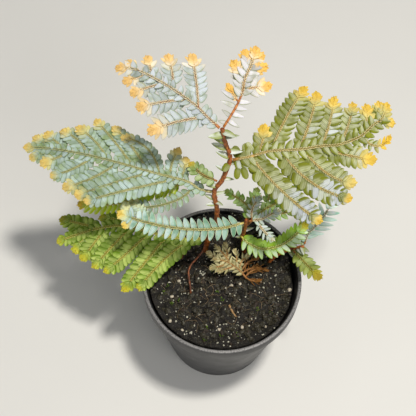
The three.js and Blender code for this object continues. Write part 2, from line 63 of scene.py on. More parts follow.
# Points round the upright axis.
def ringOf(turns, radius=1.0, height=0.0):
    x, y = radius * np.cos(turns), radius * np.sin(turns)
    return np.stack([x, y, np.broadcast_to(height, x.shape)], axis=-1)


def splineThrough(points, perSpan=20):
    knots = np.array(points, float)
    knots = np.vstack([2 * knots[0] - knots[1], knots, 2 * knots[-1] - knots[-2]])
    t = np.linspace(0, 1, perSpan, endpoint=False)[:, None]
    spans = []
    for a, b, c, d in zip(knots, knots[1:], knots[2:], knots[3:]):
        cubic = (3 * b - a - 3 * c + d) * t**3
        spans.append(0.5 * (2 * b + (c - a) * t + (2 * a - 5 * b + 4 * c - d) * t**2 + cubic))
    return np.vstack(spans + [knots[-2:-1]])


def measured(points):
    steps = np.linalg.norm(np.diff(points, axis=0), axis=1)
    distances = np.concatenate([[0], np.cumsum(steps)])
    return {"points": points, "distances": distances, "length": distances[-1]}


# Points and directions at distances along a line. It runs on straight past its end.
def alongLine(line, distances):
    distances = np.atleast_1d(np.asarray(distances, float))
    length = line["length"]

    def pointsAt(places):
        places = np.clip(places, 0, length)
        return np.stack([np.interp(places, line["distances"], column) for column in line["points"].T], axis=1)

    inside = np.clip(distances, 0, length)
    step = length * 0.01
    ahead = unit(pointsAt(inside + step) - pointsAt(inside - step))
    return pointsAt(inside) + ahead * (distances - inside)[:, None], ahead


# Quads round a stack of rings, closed at both ends. outward says which way a ring runs.
def ringQuads(stations, ring, outward=True):
    quads = []
    for station in range(stations - 1):
        for place in range(ring):
            a, b = station * ring + place, station * ring + (place + 1) % ring
            quads.append((a, b, b + ring, a + ring))
    last = (stations - 1) * ring
    for place in range(ring // 2 - 1):
        cap = (place, place + 1, ring - 2 - place, ring - 1 - place)
        quads += [cap[::-1], tuple(last + corner for corner in cap)]
    quads = np.array(quads)
    return quads if outward else quads[:, ::-1]


leafRim = 0.88
leafValues = ("leafAlong", "leafAcross", "leafTop", "ripe", "tint", "pale", "scaleLeaf")


# One bundle of closed bodies: corners, quads, material number and values for the materials.
def part(points, quads, material, **values):
    filled = {}
    for name in leafValues:
        value = np.asarray(values.get(name, 0.0), float)
        filled[name] = np.broadcast_to(value, (len(points),)) if value.ndim == 0 else value.reshape(-1)
    return {"points": points, "quads": quads, "material": material, "values": filled}


def tubePart(points, radii, ring=8, material=1, wobble=0.0, reference=(0, 0, 1)):
    points = np.asarray(points, float)
    ahead = unit(np.gradient(points, axis=0))
    normal, normals = np.array(reference, float), []
    for direction in ahead:
        normal = squareTo(normal, direction)
        normals.append(normal)
    normals = np.array(normals)[:, None]
    turns = np.arange(ring)[:, None] / ring * fullTurn
    radii = atShares(radii, np.linspace(0, 1, len(points)))
    size = radii[:, None] * (1 + wobble * random.uniform(-1, 1, (len(points), ring)))
    around = np.cos(turns) * normals + np.sin(turns) * np.cross(ahead[:, None], normals)
    rings = points[:, None] + size[..., None] * around
    return part(rings.reshape(-1, 3), ringQuads(len(points), ring), material)


# Leaves keep flat faces: the long edges beside their rims are sharp.
def creaseRims(mesh, across):
    ends = np.zeros(len(mesh.edges) * 2, np.int32)
    mesh.edges.foreach_get("vertices", ends)
    beside = np.abs(np.abs(across) - leafRim) < 1e-4
    a, b = ends.reshape(-1, 2).T
    sharp = mesh.attributes.new("sharp_edge", "BOOLEAN", "EDGE")
    sharp.data.foreach_set("value", beside[a] & beside[b] & (across[a] * across[b] > 0))


def addObject(name, data):
    made = bpy.data.objects.new(name, data)
    bpy.context.scene.collection.objects.link(made)
    return made


def addPiece(name, parts, materials, node=None, smooth=True):
    starts = np.cumsum([0] + [len(bundle["points"]) for bundle in parts[:-1]])
    quads = np.vstack([bundle["quads"] + start for bundle, start in zip(parts, starts)])
    mesh = bpy.data.meshes.new(name)
    mesh.from_pydata(np.vstack([bundle["points"] for bundle in parts]) * mm, [], quads)
    numbers = np.concatenate([np.full(len(bundle["quads"]), bundle["material"]) for bundle in parts])
    mesh.polygons.foreach_set("material_index", numbers.astype(np.int32))
    values = {each: np.concatenate([bundle["values"][each] for bundle in parts]) for each in leafValues}
    for valueName, value in values.items():
        attribute = mesh.attributes.new(valueName, "FLOAT", "POINT")
        attribute.data.foreach_set("value", value.astype(np.float32))
    if smooth:
        mesh.shade_smooth()
        creaseRims(mesh, values["leafAcross"])
    mesh.update()
    for material in materials:
        mesh.materials.append(material)
    piece = addObject(name, mesh)
    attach(piece, "root")
    if node:
        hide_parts(node)
    return piece


def linear(colour):
    shares = np.array(colour, float) / 255
    return tuple(np.where(shares <= 0.04045, shares / 12.92, ((shares + 0.055) / 1.055) ** 2.4)) + (1.0,)


class Finish:
    # Short ways to add and join the nodes of one material.
    def __init__(self, name, roughness=0.5):
        self.material = bpy.data.materials.new(name)
        self.material.use_nodes = True
        self.nodes = self.material.node_tree.nodes
        self.links = self.material.node_tree.links
        self.shader = next(node for node in self.nodes if node.type == "BSDF_PRINCIPLED")
        self.shader.inputs["Roughness"].default_value = roughness

    def feed(self, socket, value):
        if isinstance(value, bpy.types.NodeSocket):
            self.links.new(value, socket)
        else:
            socket.default_value = value

    def node(self, kind, inputs, output, **settings):
        made = self.nodes.new(kind)
        for setting, value in settings.items():
            setattr(made, setting, value)
        for socket, value in inputs.items():
            self.feed(made.inputs[socket], value)
        return made.outputs[output]

    def value(self, name):
        return self.node("ShaderNodeAttribute", {}, "Fac", attribute_name=name)

    def place(self):
        return self.node("ShaderNodeTexCoord", {}, "Object")

    def reckon(self, operation, *values, clamp=False):
        return self.node("ShaderNodeMath", dict(enumerate(values)), 0, operation=operation, use_clamp=clamp)

    def times(self, a, b, clamp=False):
        return self.reckon("MULTIPLY", a, b, clamp=clamp)

    def plus(self, a, b):
        return self.reckon("ADD", a, b)

    def scaled(self, value, scale, shift):
        return self.reckon("MULTIPLY_ADD", value, scale, shift)

    def band(self, value, low, high):
        return self.node("ShaderNodeMapRange", {"Value": value, "From Min": low, "From Max": high}, "Result",
                         interpolation_type="SMOOTHSTEP")

    def noise(self, size, detail=3.0):
        inputs = {"Vector": self.place(), "Scale": 1 / (size * mm), "Detail": detail}
        return self.node("ShaderNodeTexNoise", inputs, "Fac")

    # The mix node's inputs 6 and 7 are its two colours.
    def mixed(self, share, *colours):
        inputs = {0: share}
        for socket, colour in zip((6, 7), colours):
            inputs[socket] = colour if isinstance(colour, bpy.types.NodeSocket) else linear(colour)
        return self.node("ShaderNodeMix", inputs, 2, data_type="RGBA")

    def brighter(self, colour, amount):
        return self.node("ShaderNodeHueSaturation", {"Color": colour, "Value": amount}, "Color")

    def bump(self, height, strength, distance):
        inputs = {"Height": height, "Strength": strength, "Distance": distance * mm}
        self.feed(self.shader.inputs["Normal"], self.node("ShaderNodeBump", inputs, "Normal"))

    def done(self, colour, roughness=None):
        self.feed(self.shader.inputs["Base Color"], colour)
        if roughness is not None:
            self.feed(self.shader.inputs["Roughness"], roughness)
        return self.material


leafFinish = {
    "patchSize": 4.5, "hazeSize": 5, "grainSize": 0.35, "glossSize": 2.5, "lineCount": 14.0, "lineSway": 5.0,
    "bump": (0.2, 0.1), "specular": 0.3, "glow": 0.12, "glowRadius": (0.8, 1.0, 0.4), "glowScale": 0.6,
}


# Leaf skin: green at the back edge, with a painted pale sheen, faintly lined, on its upper face, warm where
# ripe.
def leafMaterial(name, look):
    finish = Finish(name)
    mixed, band, times, scaled = finish.mixed, finish.band, finish.times, finish.scaled
    across, alongLeaf, ripe = (finish.value(each) for each in ("leafAcross", "leafAlong", "ripe"))
    patches = finish.noise(leafFinish["patchSize"], 2)
    sway = times(patches, leafFinish["lineSway"])
    lines = scaled(finish.reckon("SINE", scaled(across, leafFinish["lineCount"], sway)), 0.5, 0.5)
    # Painted sheen: pale blue-white on each leaf's upper face stands in for the leaves' iridescent reflection.
    sheen = times(band(across, *look["paleSide"]), finish.value("pale"))
    sheen = times(sheen, band(finish.noise(leafFinish["hazeSize"], 2), 0.2, 0.6))
    sheen = times(sheen, scaled(lines, 0.45, 0.6))
    sheen = times(sheen, finish.value("leafTop"), clamp=True)
    # A whiter painted sheen colour takes over where the paleness passes 1.
    paintedSheenTone = mixed(band(finish.value("pale"), 1.0, 1.7), look["pale"], look.get("paintedSheenWhite", look["pale"]))
    colour = mixed(sheen, mixed(patches, look["deep"], look["body"]), paintedSheenTone)
    edge = band(finish.reckon("ABSOLUTE", across), 0.72, 1.0)
    colour = mixed(times(edge, look["edgeShare"]), colour, look["edge"])
    bead = mixed(band(alongLeaf, 0.35, 0.9), look["rib"], look["ribGlint"])
    colour = mixed(times(finish.value("scaleLeaf"), 0.85), colour, bead)
    # Painted shade: each leaf darkens towards its deep green at the foot.
    colour = mixed(times(band(alongLeaf, 0.3, 0.0), 0.45), colour, look["deep"])  # dark at the foot
    warm = mixed(band(ripe, 0.45, 1.15), look["turning"], look["ripe"])
    colour = mixed(band(finish.plus(ripe, scaled(patches, 0.9, -0.45)), 0.15, 0.95), colour, warm)
    colour = finish.brighter(colour, scaled(finish.value("tint"), 0.3, 0.86))
    finish.bump(scaled(lines, 0.5, finish.noise(leafFinish["grainSize"], 2)), *leafFinish["bump"])
    finish.shader.inputs["Specular IOR Level"].default_value = leafFinish["specular"]
    finish.shader.inputs["Subsurface Weight"].default_value = leafFinish["glow"]
    finish.shader.inputs["Subsurface Radius"].default_value = leafFinish["glowRadius"]
    finish.shader.inputs["Subsurface Scale"].default_value = leafFinish["glowScale"] * mm
    return finish.done(colour, scaled(finish.noise(leafFinish["glossSize"], 2), 0.25, 0.5))


# Straw and rust skin of the stalks and stems, with blotchy noise bumps.
def stalkMaterial(name, dark, light, roughness=0.45):
    finish = Finish(name)
    blotches, fine = finish.noise(1.6, 4), finish.noise(0.3)
    glint = tuple(min(255, share * 1.25) for share in light)
    colour = finish.mixed(finish.band(blotches, 0.35, 0.68), dark, light)
    colour = finish.mixed(finish.band(fine, 0.55, 0.8), colour, glint)
    finish.bump(finish.plus(blotches, fine), 0.5, 0.15)
    return finish.done(colour, finish.scaled(fine, 0.3, roughness - 0.15))


def crumbMaterial(name, dark, light, roughness):
    finish = Finish(name)
    grains = finish.noise(0.5, 4)
    finish.bump(grains, 0.6, 0.3)
    colour = finish.mixed(finish.band(grains, 0.3, 0.7), dark, light)
    return finish.done(colour, finish.scaled(finish.noise(0.3, 2), 0.4, roughness - 0.2))


# Half width of a leaf at each station from foot to tip, as a share of its greatest.
leafShapes = {
    "stations": [0, 0.07, 0.2, 0.4, 0.6, 0.78, 0.91, 1],
    "oblong": [0.5, 0.82, 0.98, 1, 0.97, 0.86, 0.6, 0.16],
    "blade": [0.55, 0.88, 1, 0.97, 0.83, 0.62, 0.36, 0.05],
    "pointed": [0.4, 0.8, 1, 0.96, 0.78, 0.54, 0.3, 0.05],
    "round": [0.3, 0.62, 0.9, 1, 1, 0.9, 0.66, 0.18],
    "narrow": [0.4, 0.7, 0.92, 1, 0.9, 0.7, 0.42, 0.05],
    "scale": [0.5, 0.85, 1, 0.92, 0.7, 0.42, 0.2, 0.03],
}

# A leaf's section from back edge to front edge and back underneath: across, and upper or lower.
fullSection = ([-1, -leafRim, 0, leafRim, 1, leafRim, 0, -leafRim], [0, 1, 1, 1, 0, -1, -1, -1])
smallSection = ([-1, -0.35, 0.35, 1, 0.35, -0.35], [0, 1, 1, 0, -1, -1])
smallStations = [0, 2, 4, 6, 7]
grooveWidth = 0.3  # share of the half width


# Many leaves at once. side is 1 or -1 for the two sides of a rib. droop, roll, curl bend each.
def leafPart(base, ahead, normal, side, length, width, shape, look, ripe=(0.0, 0.0), small=False, **values):
    count = len(base)
    stations, widths = np.array(leafShapes["stations"]), np.array(leafShapes[shape])
    if small:
        stations, widths = stations[smallStations], widths[smallStations]
    section = np.array(smallSection if small else fullSection, float)
    s, widths = stations[None, :, None], widths[None, :, None]
    q, upper = section[:, None, None]
    size = (count, len(stations), section.shape[1])

    def eachLeaf(value):
        return np.broadcast_to(value, (count,))[:, None, None]

    side, length, width = eachLeaf(side), eachLeaf(length), eachLeaf(width)
    droop = np.radians(look["droop"] + random.normal(0, look["droopSpread"], count))[:, None]
    roll = np.radians(look["roll"] + random.normal(0, look["rollSpread"], count))[:, None]
    ahead = unit(ahead)
    normal = squareTo(normal, ahead)
    forward = unit(ahead * np.cos(droop) - normal * np.sin(droop))
    lifted = unit(normal * np.cos(droop) + ahead * np.sin(droop))
    sideways = unit(np.cross(normal, ahead) * np.cos(roll) + side[:, 0] * lifted * np.sin(roll))
    upward = np.cross(forward, sideways)
    crown = look["camber"] * width * (1 - q**2) * widths
    groove = look["groove"] * np.exp(-((q / grooveWidth) ** 2)) * (upper > 0)
    height = crown - groove + upper * look["thickness"] / 2 * (1 - 0.5 * s) - look["curl"] * length * s**2
    y = q * widths * width / 2 - side * look["sweep"] * length * s**2
    points = base[:, None, None]
    for amount, direction in ((length * s, forward), (y, sideways), (height, upward)):
        points = points + amount[..., None] * direction[:, None, None]
    template = ringQuads(size[1], size[2], outward=False)
    quads = (template[None] + (np.arange(count) * size[1] * size[2])[:, None, None]).reshape(-1, 4)
    ripeFoot, ripeTip = (eachLeaf(value) for value in ripe)
    values.update(ripe=ripeFoot + (ripeTip - ripeFoot) * s, leafAlong=s, leafAcross=-side * q,
                  leafTop=np.clip(upper + 1, 0, 1))
    for name, value in values.items():
        value = np.asarray(value, float)
        values[name] = np.broadcast_to(value if value.ndim == 3 else value.reshape(-1, 1, 1), size)
    return part(points.reshape(-1, 3), quads, 0, **values)


cupWidth = 20  # the cup is how far the spray's sides lie below its stalk at this distance


# A spray's own flat frame: u along it, v across it, and the face that bulges.
def sprayPlane(spray):
    root = np.array(spray["root"], float)
    along = np.array(spray["end"], float) - root
    length = np.linalg.norm(along)
    along = along / length
    face = squareTo(np.array(spray["facing"], float), along)
    across = np.cross(face, along)
    return {**spray, "root": root, "along": along, "across": across, "face": face, "length": length}


def onPlane(plane, flat, lift=0.0):
    u, v = flat[:, :1], flat[:, 1:]
    t = u / plane["length"]
    bulge = plane["arch"] * 4 * t * (1 - t) - plane["cup"] * (v / cupWidth) ** 2 + lift
    return plane["root"] + u * plane["along"] + v * plane["across"] + bulge * plane["face"]


# A direction in the flat spray as it lies on the bulging plane, and the plane's normal there.
def directionsOn(plane, flat, ahead):
    slopeAlong = plane["arch"] * 4 * (1 - 2 * flat[:, :1] / plane["length"]) / plane["length"]
    slopeAcross = -2 * plane["cup"] * flat[:, 1:] / cupWidth**2
    along = plane["along"] + slopeAlong * plane["face"]
    across = plane["across"] + slopeAcross * plane["face"]
    return unit(ahead[:, :1] * along + ahead[:, 1:] * across), unit(np.cross(along, across))


def turned(flat, degrees):
    cosine, sine = np.cos(np.radians(degrees)), np.sin(np.radians(degrees))
    return np.stack([flat[:, 0] * cosine - flat[:, 1] * sine, flat[:, 0] * sine + flat[:, 1] * cosine], axis=1)


# Directions of leaves turned away from their rib, and their normals, leaned sideways by the tilt.
def leanedOver(plane, flat, ribAhead, degrees, tilt):
    ribDirection, normal = directionsOn(plane, flat, ribAhead)
    normal = unit(normal - np.cross(normal, ribDirection) * math.tan(tilt))
    direction, _ = directionsOn(plane, flat, turned(ribAhead, degrees))
    return squareTo(direction, normal), normal


# How far along a rib its leaves stand. They close up towards its tip.
def leafPlaces(start, stop, look, zone, shift):
    places = []
    place = start + shift * look["pitch"]
    while place < stop:
        places.append(place)
        place += look["pitch"] * (1 - look["closeUp"] * float(smoothStep(place, stop - zone, stop)))
    return np.array(places)


# Length of a leaf that reaches the edge of a blade with straight sides and an oval end.
def reachToEdge(places, angle, half, stop, capShare):
    cap = capShare * half
    offset = places - (stop - cap)
    straight = half / np.sin(angle)
    a = (np.cos(angle) / cap) ** 2 + (np.sin(angle) / half) ** 2
    b = offset * np.cos(angle) / cap**2
    curved = (np.sqrt(np.maximum(b**2 - a * ((offset / cap) ** 2 - 1), 0)) - b) / a
    return np.where(offset + straight * np.cos(angle) <= 0, straight, np.maximum(curved, half * 0.3))


# Ripeness at the feet and tips of leaves, by how near they come to the end of a closed rib.
def leafRipeness(places, length, angle, stop, look, closed=True):
    ends = []
    for share in (0, 1):
        before = np.minimum(places + share * length * np.cos(np.radians(angle)) - stop, 0)
        aside = share * length * np.sin(np.radians(angle))
        far = np.hypot(before, 1.3 * aside) / look["ripeLength"]
        ends.append(look["tipRipe"] * (1 - smoothStep(far, 0.3, 1.7)) * closed)
    return ends


# Two rows of side leaves, two of scale leaves and, where the rib is closed, the leaves of its tip.
def leafRows(plane, line, look, half, start, stop, lift, rootShare, tilt=0.0, closed=True):
    parts = []
    zone = look["tipZone"] if closed else 0.01
    for side in (1, -1):
        places = leafPlaces(start, stop, look, zone, 0.25 if side > 0 else 0.75)
        count = len(places)
        places = places + random.normal(0, look["placeSpread"] * look["pitch"], count)
        flat, ahead = alongLine(line, places)
        near = smoothStep(places, stop - zone, stop) * closed
        angle = look["angle"] * (1 - look["tipTurn"] * near) + random.normal(0, look["angleSpread"], count)
        reach = half * np.minimum(1, rootShare + (1 - rootShare) * (places - start) / look["rootZone"])
        if closed:
            length = reachToEdge(places, np.radians(angle), reach, stop + look["overshoot"], look["capShare"])
        else:
            length = reach / np.sin(np.radians(angle))
        length = length * random.uniform(*look["sizeSpread"], count)
        width = look["leafWidth"] * (1 - look["narrowing"] * near) * random.uniform(*look["sizeSpread"], count)
        direction, normal = leanedOver(plane, flat, ahead, side * angle, tilt)
        base = onPlane(plane, flat + turned(ahead, side * 90.0) * look["footAside"], lift)
        rise = near * look["tipRise"] + random.uniform(-look["footSpread"], look["footSpread"], count)
        base = base + normal * rise[:, None]
        paleness = np.interp(places, (start, stop), look["paleAt"]) * look["sidePale"][side < 0]
        parts.append(leafPart(
            base, direction, normal, side, length, width, look["shape"], look,
            ripe=leafRipeness(places, length, angle, stop, look, closed),
            tint=random.uniform(0, 1, count), pale=random.uniform(0.7, 1.1, count) * paleness))
    parts.append(scaleLeaves(plane, line, look, start, stop, lift, tilt, closed))
    if closed:
        parts.append(tipLeaves(plane, line, look, half, stop, lift, tilt))
    return parts


scaleBend = {
    "droop": -8, "droopSpread": 4, "roll": -16, "rollSpread": 6, "curl": 0.05, "sweep": 0.0, "camber": 0.1,
    "groove": 0.0,
}


def scaleLeaves(plane, line, look, start, stop, lift, tilt, closed):
    pairs = max(2, round((stop - start) / look["scalePitch"]))
    places = np.repeat(start + (np.arange(pairs) + 0.5) * (stop - start) / pairs, 2)
    side = np.tile([1.0, -1.0], pairs)
    places = places + side * look["scalePitch"] * 0.25
    count = len(places)
    flat, ahead = alongLine(line, places)
    degrees = side * (look["scaleAngle"] + random.normal(0, 5, count))
    direction, normal = leanedOver(plane, flat, ahead, degrees, tilt)
    base = onPlane(plane, flat + turned(ahead, side * 90.0) * look["scaleAside"], lift + look["scaleLift"])
    length = look["scaleLength"] * random.uniform(0.85, 1.1, count)
    return leafPart(
        base, direction, normal, side, length, look["scaleWidth"], "scale", {**look, **scaleBend}, small=True,
        ripe=leafRipeness(places, 1.0, 0.0, stop, look, closed), scaleLeaf=1.0,
        tint=random.uniform(0.2, 1, count), pale=random.uniform(0.3, 1.3, count))


# Small overlapping leaves that fill a rib's rounded end.
def tipLeaves(plane, line, look, half, stop, lift, tilt):
    back = np.repeat(np.array(look["tipPlaces"]) * half, 2)
    count = len(back)
    side = np.tile([1.0, -1.0], count // 2)
    back = back + side * look["footAside"]
    narrowest, fanned = look["tipFan"]
    angles = look["angle"] * (narrowest + fanned * back / back.max())
    end = stop + look["overshoot"]
    flat, ahead = alongLine(line, end - back)
    direction, normal = leanedOver(plane, flat, ahead, side * (angles + random.normal(0, 4, count)), tilt)
    stack = look["scaleLift"] + look["tipStack"] * np.arange(count)[::-1]
    base = onPlane(plane, flat, lift) + normal * stack[:, None]
    length = reachToEdge(end - back, np.radians(angles), half, end, look["capShare"])
    length = np.minimum(length, half * look["tipLength"])
    length = length * random.uniform(0.92, 1.06, count)
    return leafPart(
        base, direction, normal, side, length, look["tipWidth"] * half, look["tipShape"], look,
        ripe=leafRipeness(end - back, length, angles, end, look),
        tint=random.uniform(0.2, 1, count), pale=random.uniform(0.5, 1.1, count))


# Single leaves in a spray's plane.
def looseLeaves(plane, leaves, look):
    u, v, degrees, length, share, pale = np.array(leaves, float).T
    flat = np.stack([u, v], axis=1)
    direction, normal = directionsOn(plane, flat, turned(np.array([[1.0, 0.0]]), degrees))
    base = onPlane(plane, flat, 0.1) + normal * random.uniform(-0.3, 0.3, len(u))[:, None]
    return leafPart(
        base, direction, normal, np.sign(v + 0.01), length, length * share, look["looseShape"], look,
        ripe=(look["looseRipe"] * 0.7, look["looseRipe"]), tint=random.uniform(0.3, 1, len(u)), pale=pale)


def ribCurve(stalk, rib):
    start, tipU, tipV, bow = rib[:4]
    (base,), _ = alongLine(stalk, start)
    tip = np.array([tipU, tipV], float)
    chord = tip - base
    middle = (base + tip) / 2 + unit(np.array([-chord[1], chord[0]])) * 2 * bow
    t = np.linspace(0, 1, 24)[:, None]
    return measured((1 - t) ** 2 * base + 2 * t * (1 - t) * middle + t**2 * tip)


def ribTube(plane, line, stop, radii, lift):
    flat, _ = alongLine(line, np.linspace(0, stop, max(5, int(stop / 1.6))))
    return tubePart(onPlane(plane, flat, lift), radii, 6, 1, 0.06, plane["face"])


# What every frond shares unless its own dictionary says otherwise.
commonLook = {
    "pitch": 2.4, "angle": 62, "angleSpread": 3, "leafWidth": 2.9, "shape": "oblong",
    "droop": 2, "droopSpread": 2, "roll": -5, "rollSpread": 1, "curl": 0.02, "sweep": 0.05,
    "thickness": 0.12, "camber": 0.012, "groove": 0.03, "shingle": 10, "closeUp": 0.66, "narrowing": 0.64,
    "placeSpread": 0.05, "sizeSpread": (0.94, 1.06), "footAside": 0.15, "footSpread": 0.06, "rootZone": 5,
    "scalePitch": 1.25, "scaleAngle": 16, "scaleLength": 1.5, "scaleWidth": 0.8, "scaleAside": 0.22,
    "scaleLift": 0.3, "tipRise": 0.25, "tipFan": (0.12, 0.8), "tipStack": 0.018, "tipLength": 0.6,
    "tipZone": 8, "tipTurn": 0.45, "capShare": 1.5, "overshoot": 0.6, "ripeLength": 5.0, "tipRipe": 1.0,
    "tipPlaces": [1.2, 1.02, 0.86, 0.72, 0.6, 0.5, 0.42, 0.36], "tipWidth": 0.25, "tipShape": "round",
    "paleSide": (-0.95, -0.3), "paleAt": (1, 1), "sidePale": (1, 1), "edgeShare": 0.4,
    "looseShape": "round", "looseRipe": 0,
}
commonSpray = {
    "facing": (0, -0.35, 1), "arch": 1, "cup": 0, "stalkRadius": 0.55, "stalkTip": 0.4, "stalkLift": 0.35,
    "sparse": [], "loose": [], "ribs": [], "ribLooks": {}, "ribRadii": [0.42, 0.36, 0.2], "ribLift": -0.35,
}


def sprayParts(spray, look):
    spray = {**commonSpray, **spray}
    plane = sprayPlane(spray)
    stalk = measured(splineThrough(spray["stalk"]))
    total, half, lift = stalk["length"], spray["stalkHalf"], spray["stalkLift"]
    thick, thin = spray["stalkRadius"], spray["stalkTip"]
    parts = [ribTube(plane, stalk, total, [thick, (thick + thin) / 2, thin * 0.7], 0.0)]
    for start, stop in spray["leafy"]:
        closed = stop > total - 3
        parts += leafRows(plane, stalk, look, half, start, total if closed else stop, lift, 0.85, closed=closed)
    sparse = {**look, "leafWidth": look["leafWidth"] * 0.85, "pitch": look["pitch"] * 1.3}
    for start, stop in spray["sparse"]:
        parts += leafRows(plane, stalk, sparse, half * 0.95, start, stop, lift + 0.05, 0.9, closed=False)
    if spray["loose"]:
        parts.append(looseLeaves(plane, spray["loose"], look))
    for number, rib in enumerate(spray["ribs"]):
        ownLook = {**look, "ripeLength": look["ripeLength"] * random.uniform(0.75, 1.3)}
        ownLook.update(spray["ribLooks"].get(number, {}))
        line = ribCurve(stalk, rib)
        outward = np.sign(rib[2] - line["points"][0][1])
        tilt = -outward * math.radians(ownLook["shingle"])
        parts.append(ribTube(plane, line, line["length"] + 0.3, spray["ribRadii"], spray["ribLift"]))
        parts += leafRows(plane, line, ownLook, rib[4] if len(rib) > 4 else spray["half"], 1.0, line["length"],
                          spray["ribLift"], 0.75, tilt)
    return parts


def addFrond(name, frond):
    look, colours = {**commonLook, **frond["look"]}, frond["colours"]
    skin = leafMaterial(name + "Skin", {**look, **colours})
    stalkSkin = stalkMaterial(name + "Stalk", colours["stalkDark"], colours["stalkLight"])
    seat = [tubePart(frond["seat"], [0.7, 0.6])] if "seat" in frond else []
    parts = []
    for spray in frond.get("sprays", [frond]):
        parts += sprayParts(spray, {**look, **spray.get("look", {})})
    addPiece(name, parts + seat, [skin, stalkSkin], frond["node"])
    print("made", name, sum(len(bundle["quads"]) for bundle in parts) * 2, "triangles")


# root, end and facing set a spray's own flat frame: u runs from root to end, v to its left.
# stalk is a line of u, v points. leafy and sparse are the stretches of it that bear leaves.
# stalkHalf and half are how far the leaves reach aside from the stalk and from a rib.
# A rib: distance along the stalk, its tip's u and v, how far it bows, and its own half if it has one.
# A loose leaf: its foot's u and v, compass degrees, length, width share and paleness.
# In colours, pale is a painted sheen on the leaves' upper faces; the whiter sheen colour, where a frond has
# one, is painted sheen too.

leftFronds = {
    "node": "frond_left", "slot": "pale_blade",
    "look": {"pitch": 2.2, "angle": 58, "leafWidth": 2.7, "scaleWidth": 0.6, "tipRipe": 0.9},
    "colours": {"deep": (93, 116, 65), "body": (145, 166, 114), "pale": (180, 202, 202),
        "edge": (135, 160, 94), "turning": (224, 212, 134), "ripe": (224, 186, 88), "rib": (172, 172, 112),
        "ribGlint": (210, 214, 164), "stalkDark": (130, 124, 70), "stalkLight": (188, 180, 120)},
    "sprays": [{
        "root": (-8.1, 20.3, 118), "end": (-99.5, 37.5, 116), "facing": (0.05, -0.3, 1), "arch": 5,
        "cup": 2.5, "stalk": [(0, 0), (6, 0.4), (12, -1.4), (29, -1.3), (52, -2), (74, -1.8), (92.5, 0)],
        "stalkRadius": 0.75, "leafy": [(3, 9), (79, 92.5)], "sparse": [(10, 78)], "stalkHalf": 3.0,
        "half": 4.8,
        "ribLooks": {0: {"pitch": 2.9, "leafWidth": 3.1}, 1: {"pitch": 2.8, "leafWidth": 3.1},
            2: {"pitch": 2.5}},
        "ribs": [(17, 55.5, 19, 0), (29.5, 60.5, 17.5, 0), (46, 67.5, 15, 2), (58, 75, 11, 1.5),
            (69, 81.5, 6.5, 0), (79, 88, 4.5, 0), (16, 16, -12.5, -1, 3.2), (20.5, 20, -16, 1, 3.2),
            (25.5, 47.5, -15, -4.5, 3.4), (31, 53, -19, -1, 3.6), (38, 62.5, -20.5, -0.5, 3.9),
            (50.5, 70, -15, -1.5), (60.5, 77, -11.5, -2), (71, 84.5, -9, 0), (79.5, 89.5, -6, 0)],
    }, {
        "root": (-17, 21.4, 119.2), "end": (-46, 16.6, 104), "facing": (0.1, -0.5, 1), "arch": 1.5,
        "stalk": [(0, 0), (4, 2.6), (10, 3.8), (18, 3.6), (26, 2.3), (33.7, 0)], "stalkRadius": 0.6,
        "leafy": [(1.5, 34)], "stalkHalf": 3.6,
        "loose": [(28, 0.5, 62, 5, 0.42, 1.5), (31, 0.4, 58, 5.4, 0.42, 1.5), (33.4, 0.3, 46, 6, 0.4, 1.5),
            (33.6, 0, 16, 6.8, 0.36, 1.4), (33.6, -0.2, -14, 7, 0.36, 1.4), (33, -0.3, -40, 6.2, 0.4, 1.5),
            (31, -0.4, -58, 5.6, 0.42, 1.5), (28, -0.4, -62, 5.2, 0.42, 1.5)],
        "look": {"pitch": 3.0, "leafWidth": 2.3, "angle": 68, "looseShape": "oblong", "looseRipe": 0.7,
            "tipRipe": 0.5},
    }],
}
addFrond("leftFronds", leftFronds)

leftLowFrond = {
    "node": "frond_left_low", "slot": "green_blade",
    "root": (-20.3, 23.3, 118.4), "end": (-73, 21.5, 92), "facing": (0.1, -0.35, 1), "arch": -3,
    "stalk": [(0, 0), (7.5, -0.2), (15, -0.4), (24.5, 0.2), (33, 1.7), (41.5, 2), (50, 1.2), (59, -0.8)],
    "stalkRadius": 0.5, "leafy": [(4, 59)], "stalkHalf": 4.5,
    "look": {"pitch": 2.7, "angle": 58, "leafWidth": 2.5, "paleSide": (-0.5, 0.9)},
    # Painted light: these colours are made bright to stand in for the sun the left fan keeps off this strap.
    "colours": {"deep": (150, 180, 10), "body": (214, 236, 30), "pale": (234, 246, 180),
        "edge": (170, 200, 34), "turning": (210, 200, 70), "ripe": (224, 190, 60), "rib": (186, 168, 80),
        "ribGlint": (226, 214, 140), "stalkDark": (120, 96, 30), "stalkLight": (190, 160, 70)},
}
addFrond("leftLowFrond", leftLowFrond)

smallFrond = {
    "node": "frond_small", "slot": "leaf_green_blade",
    "root": (-5.95, 22, 125), "end": (-19, 29.5, 126), "arch": 0,
    "stalk": [(0, 0), (6, 1.2), (10.5, 0.9), (15, 0)], "stalkRadius": 0.5, "leafy": [(1.2, 15)],
    "stalkHalf": 3.7,
    "look": {"pitch": 2.6, "ripeLength": 3},
    "colours": {"deep": (70, 96, 26), "body": (118, 148, 52), "pale": (190, 206, 160), "edge": (92, 118, 38),
        "turning": (170, 170, 60), "ripe": (190, 160, 50), "rib": (150, 120, 60), "ribGlint": (200, 180, 110),
        "stalkDark": (110, 60, 24), "stalkLight": (170, 110, 50)},
}
addFrond("smallFrond", smallFrond)

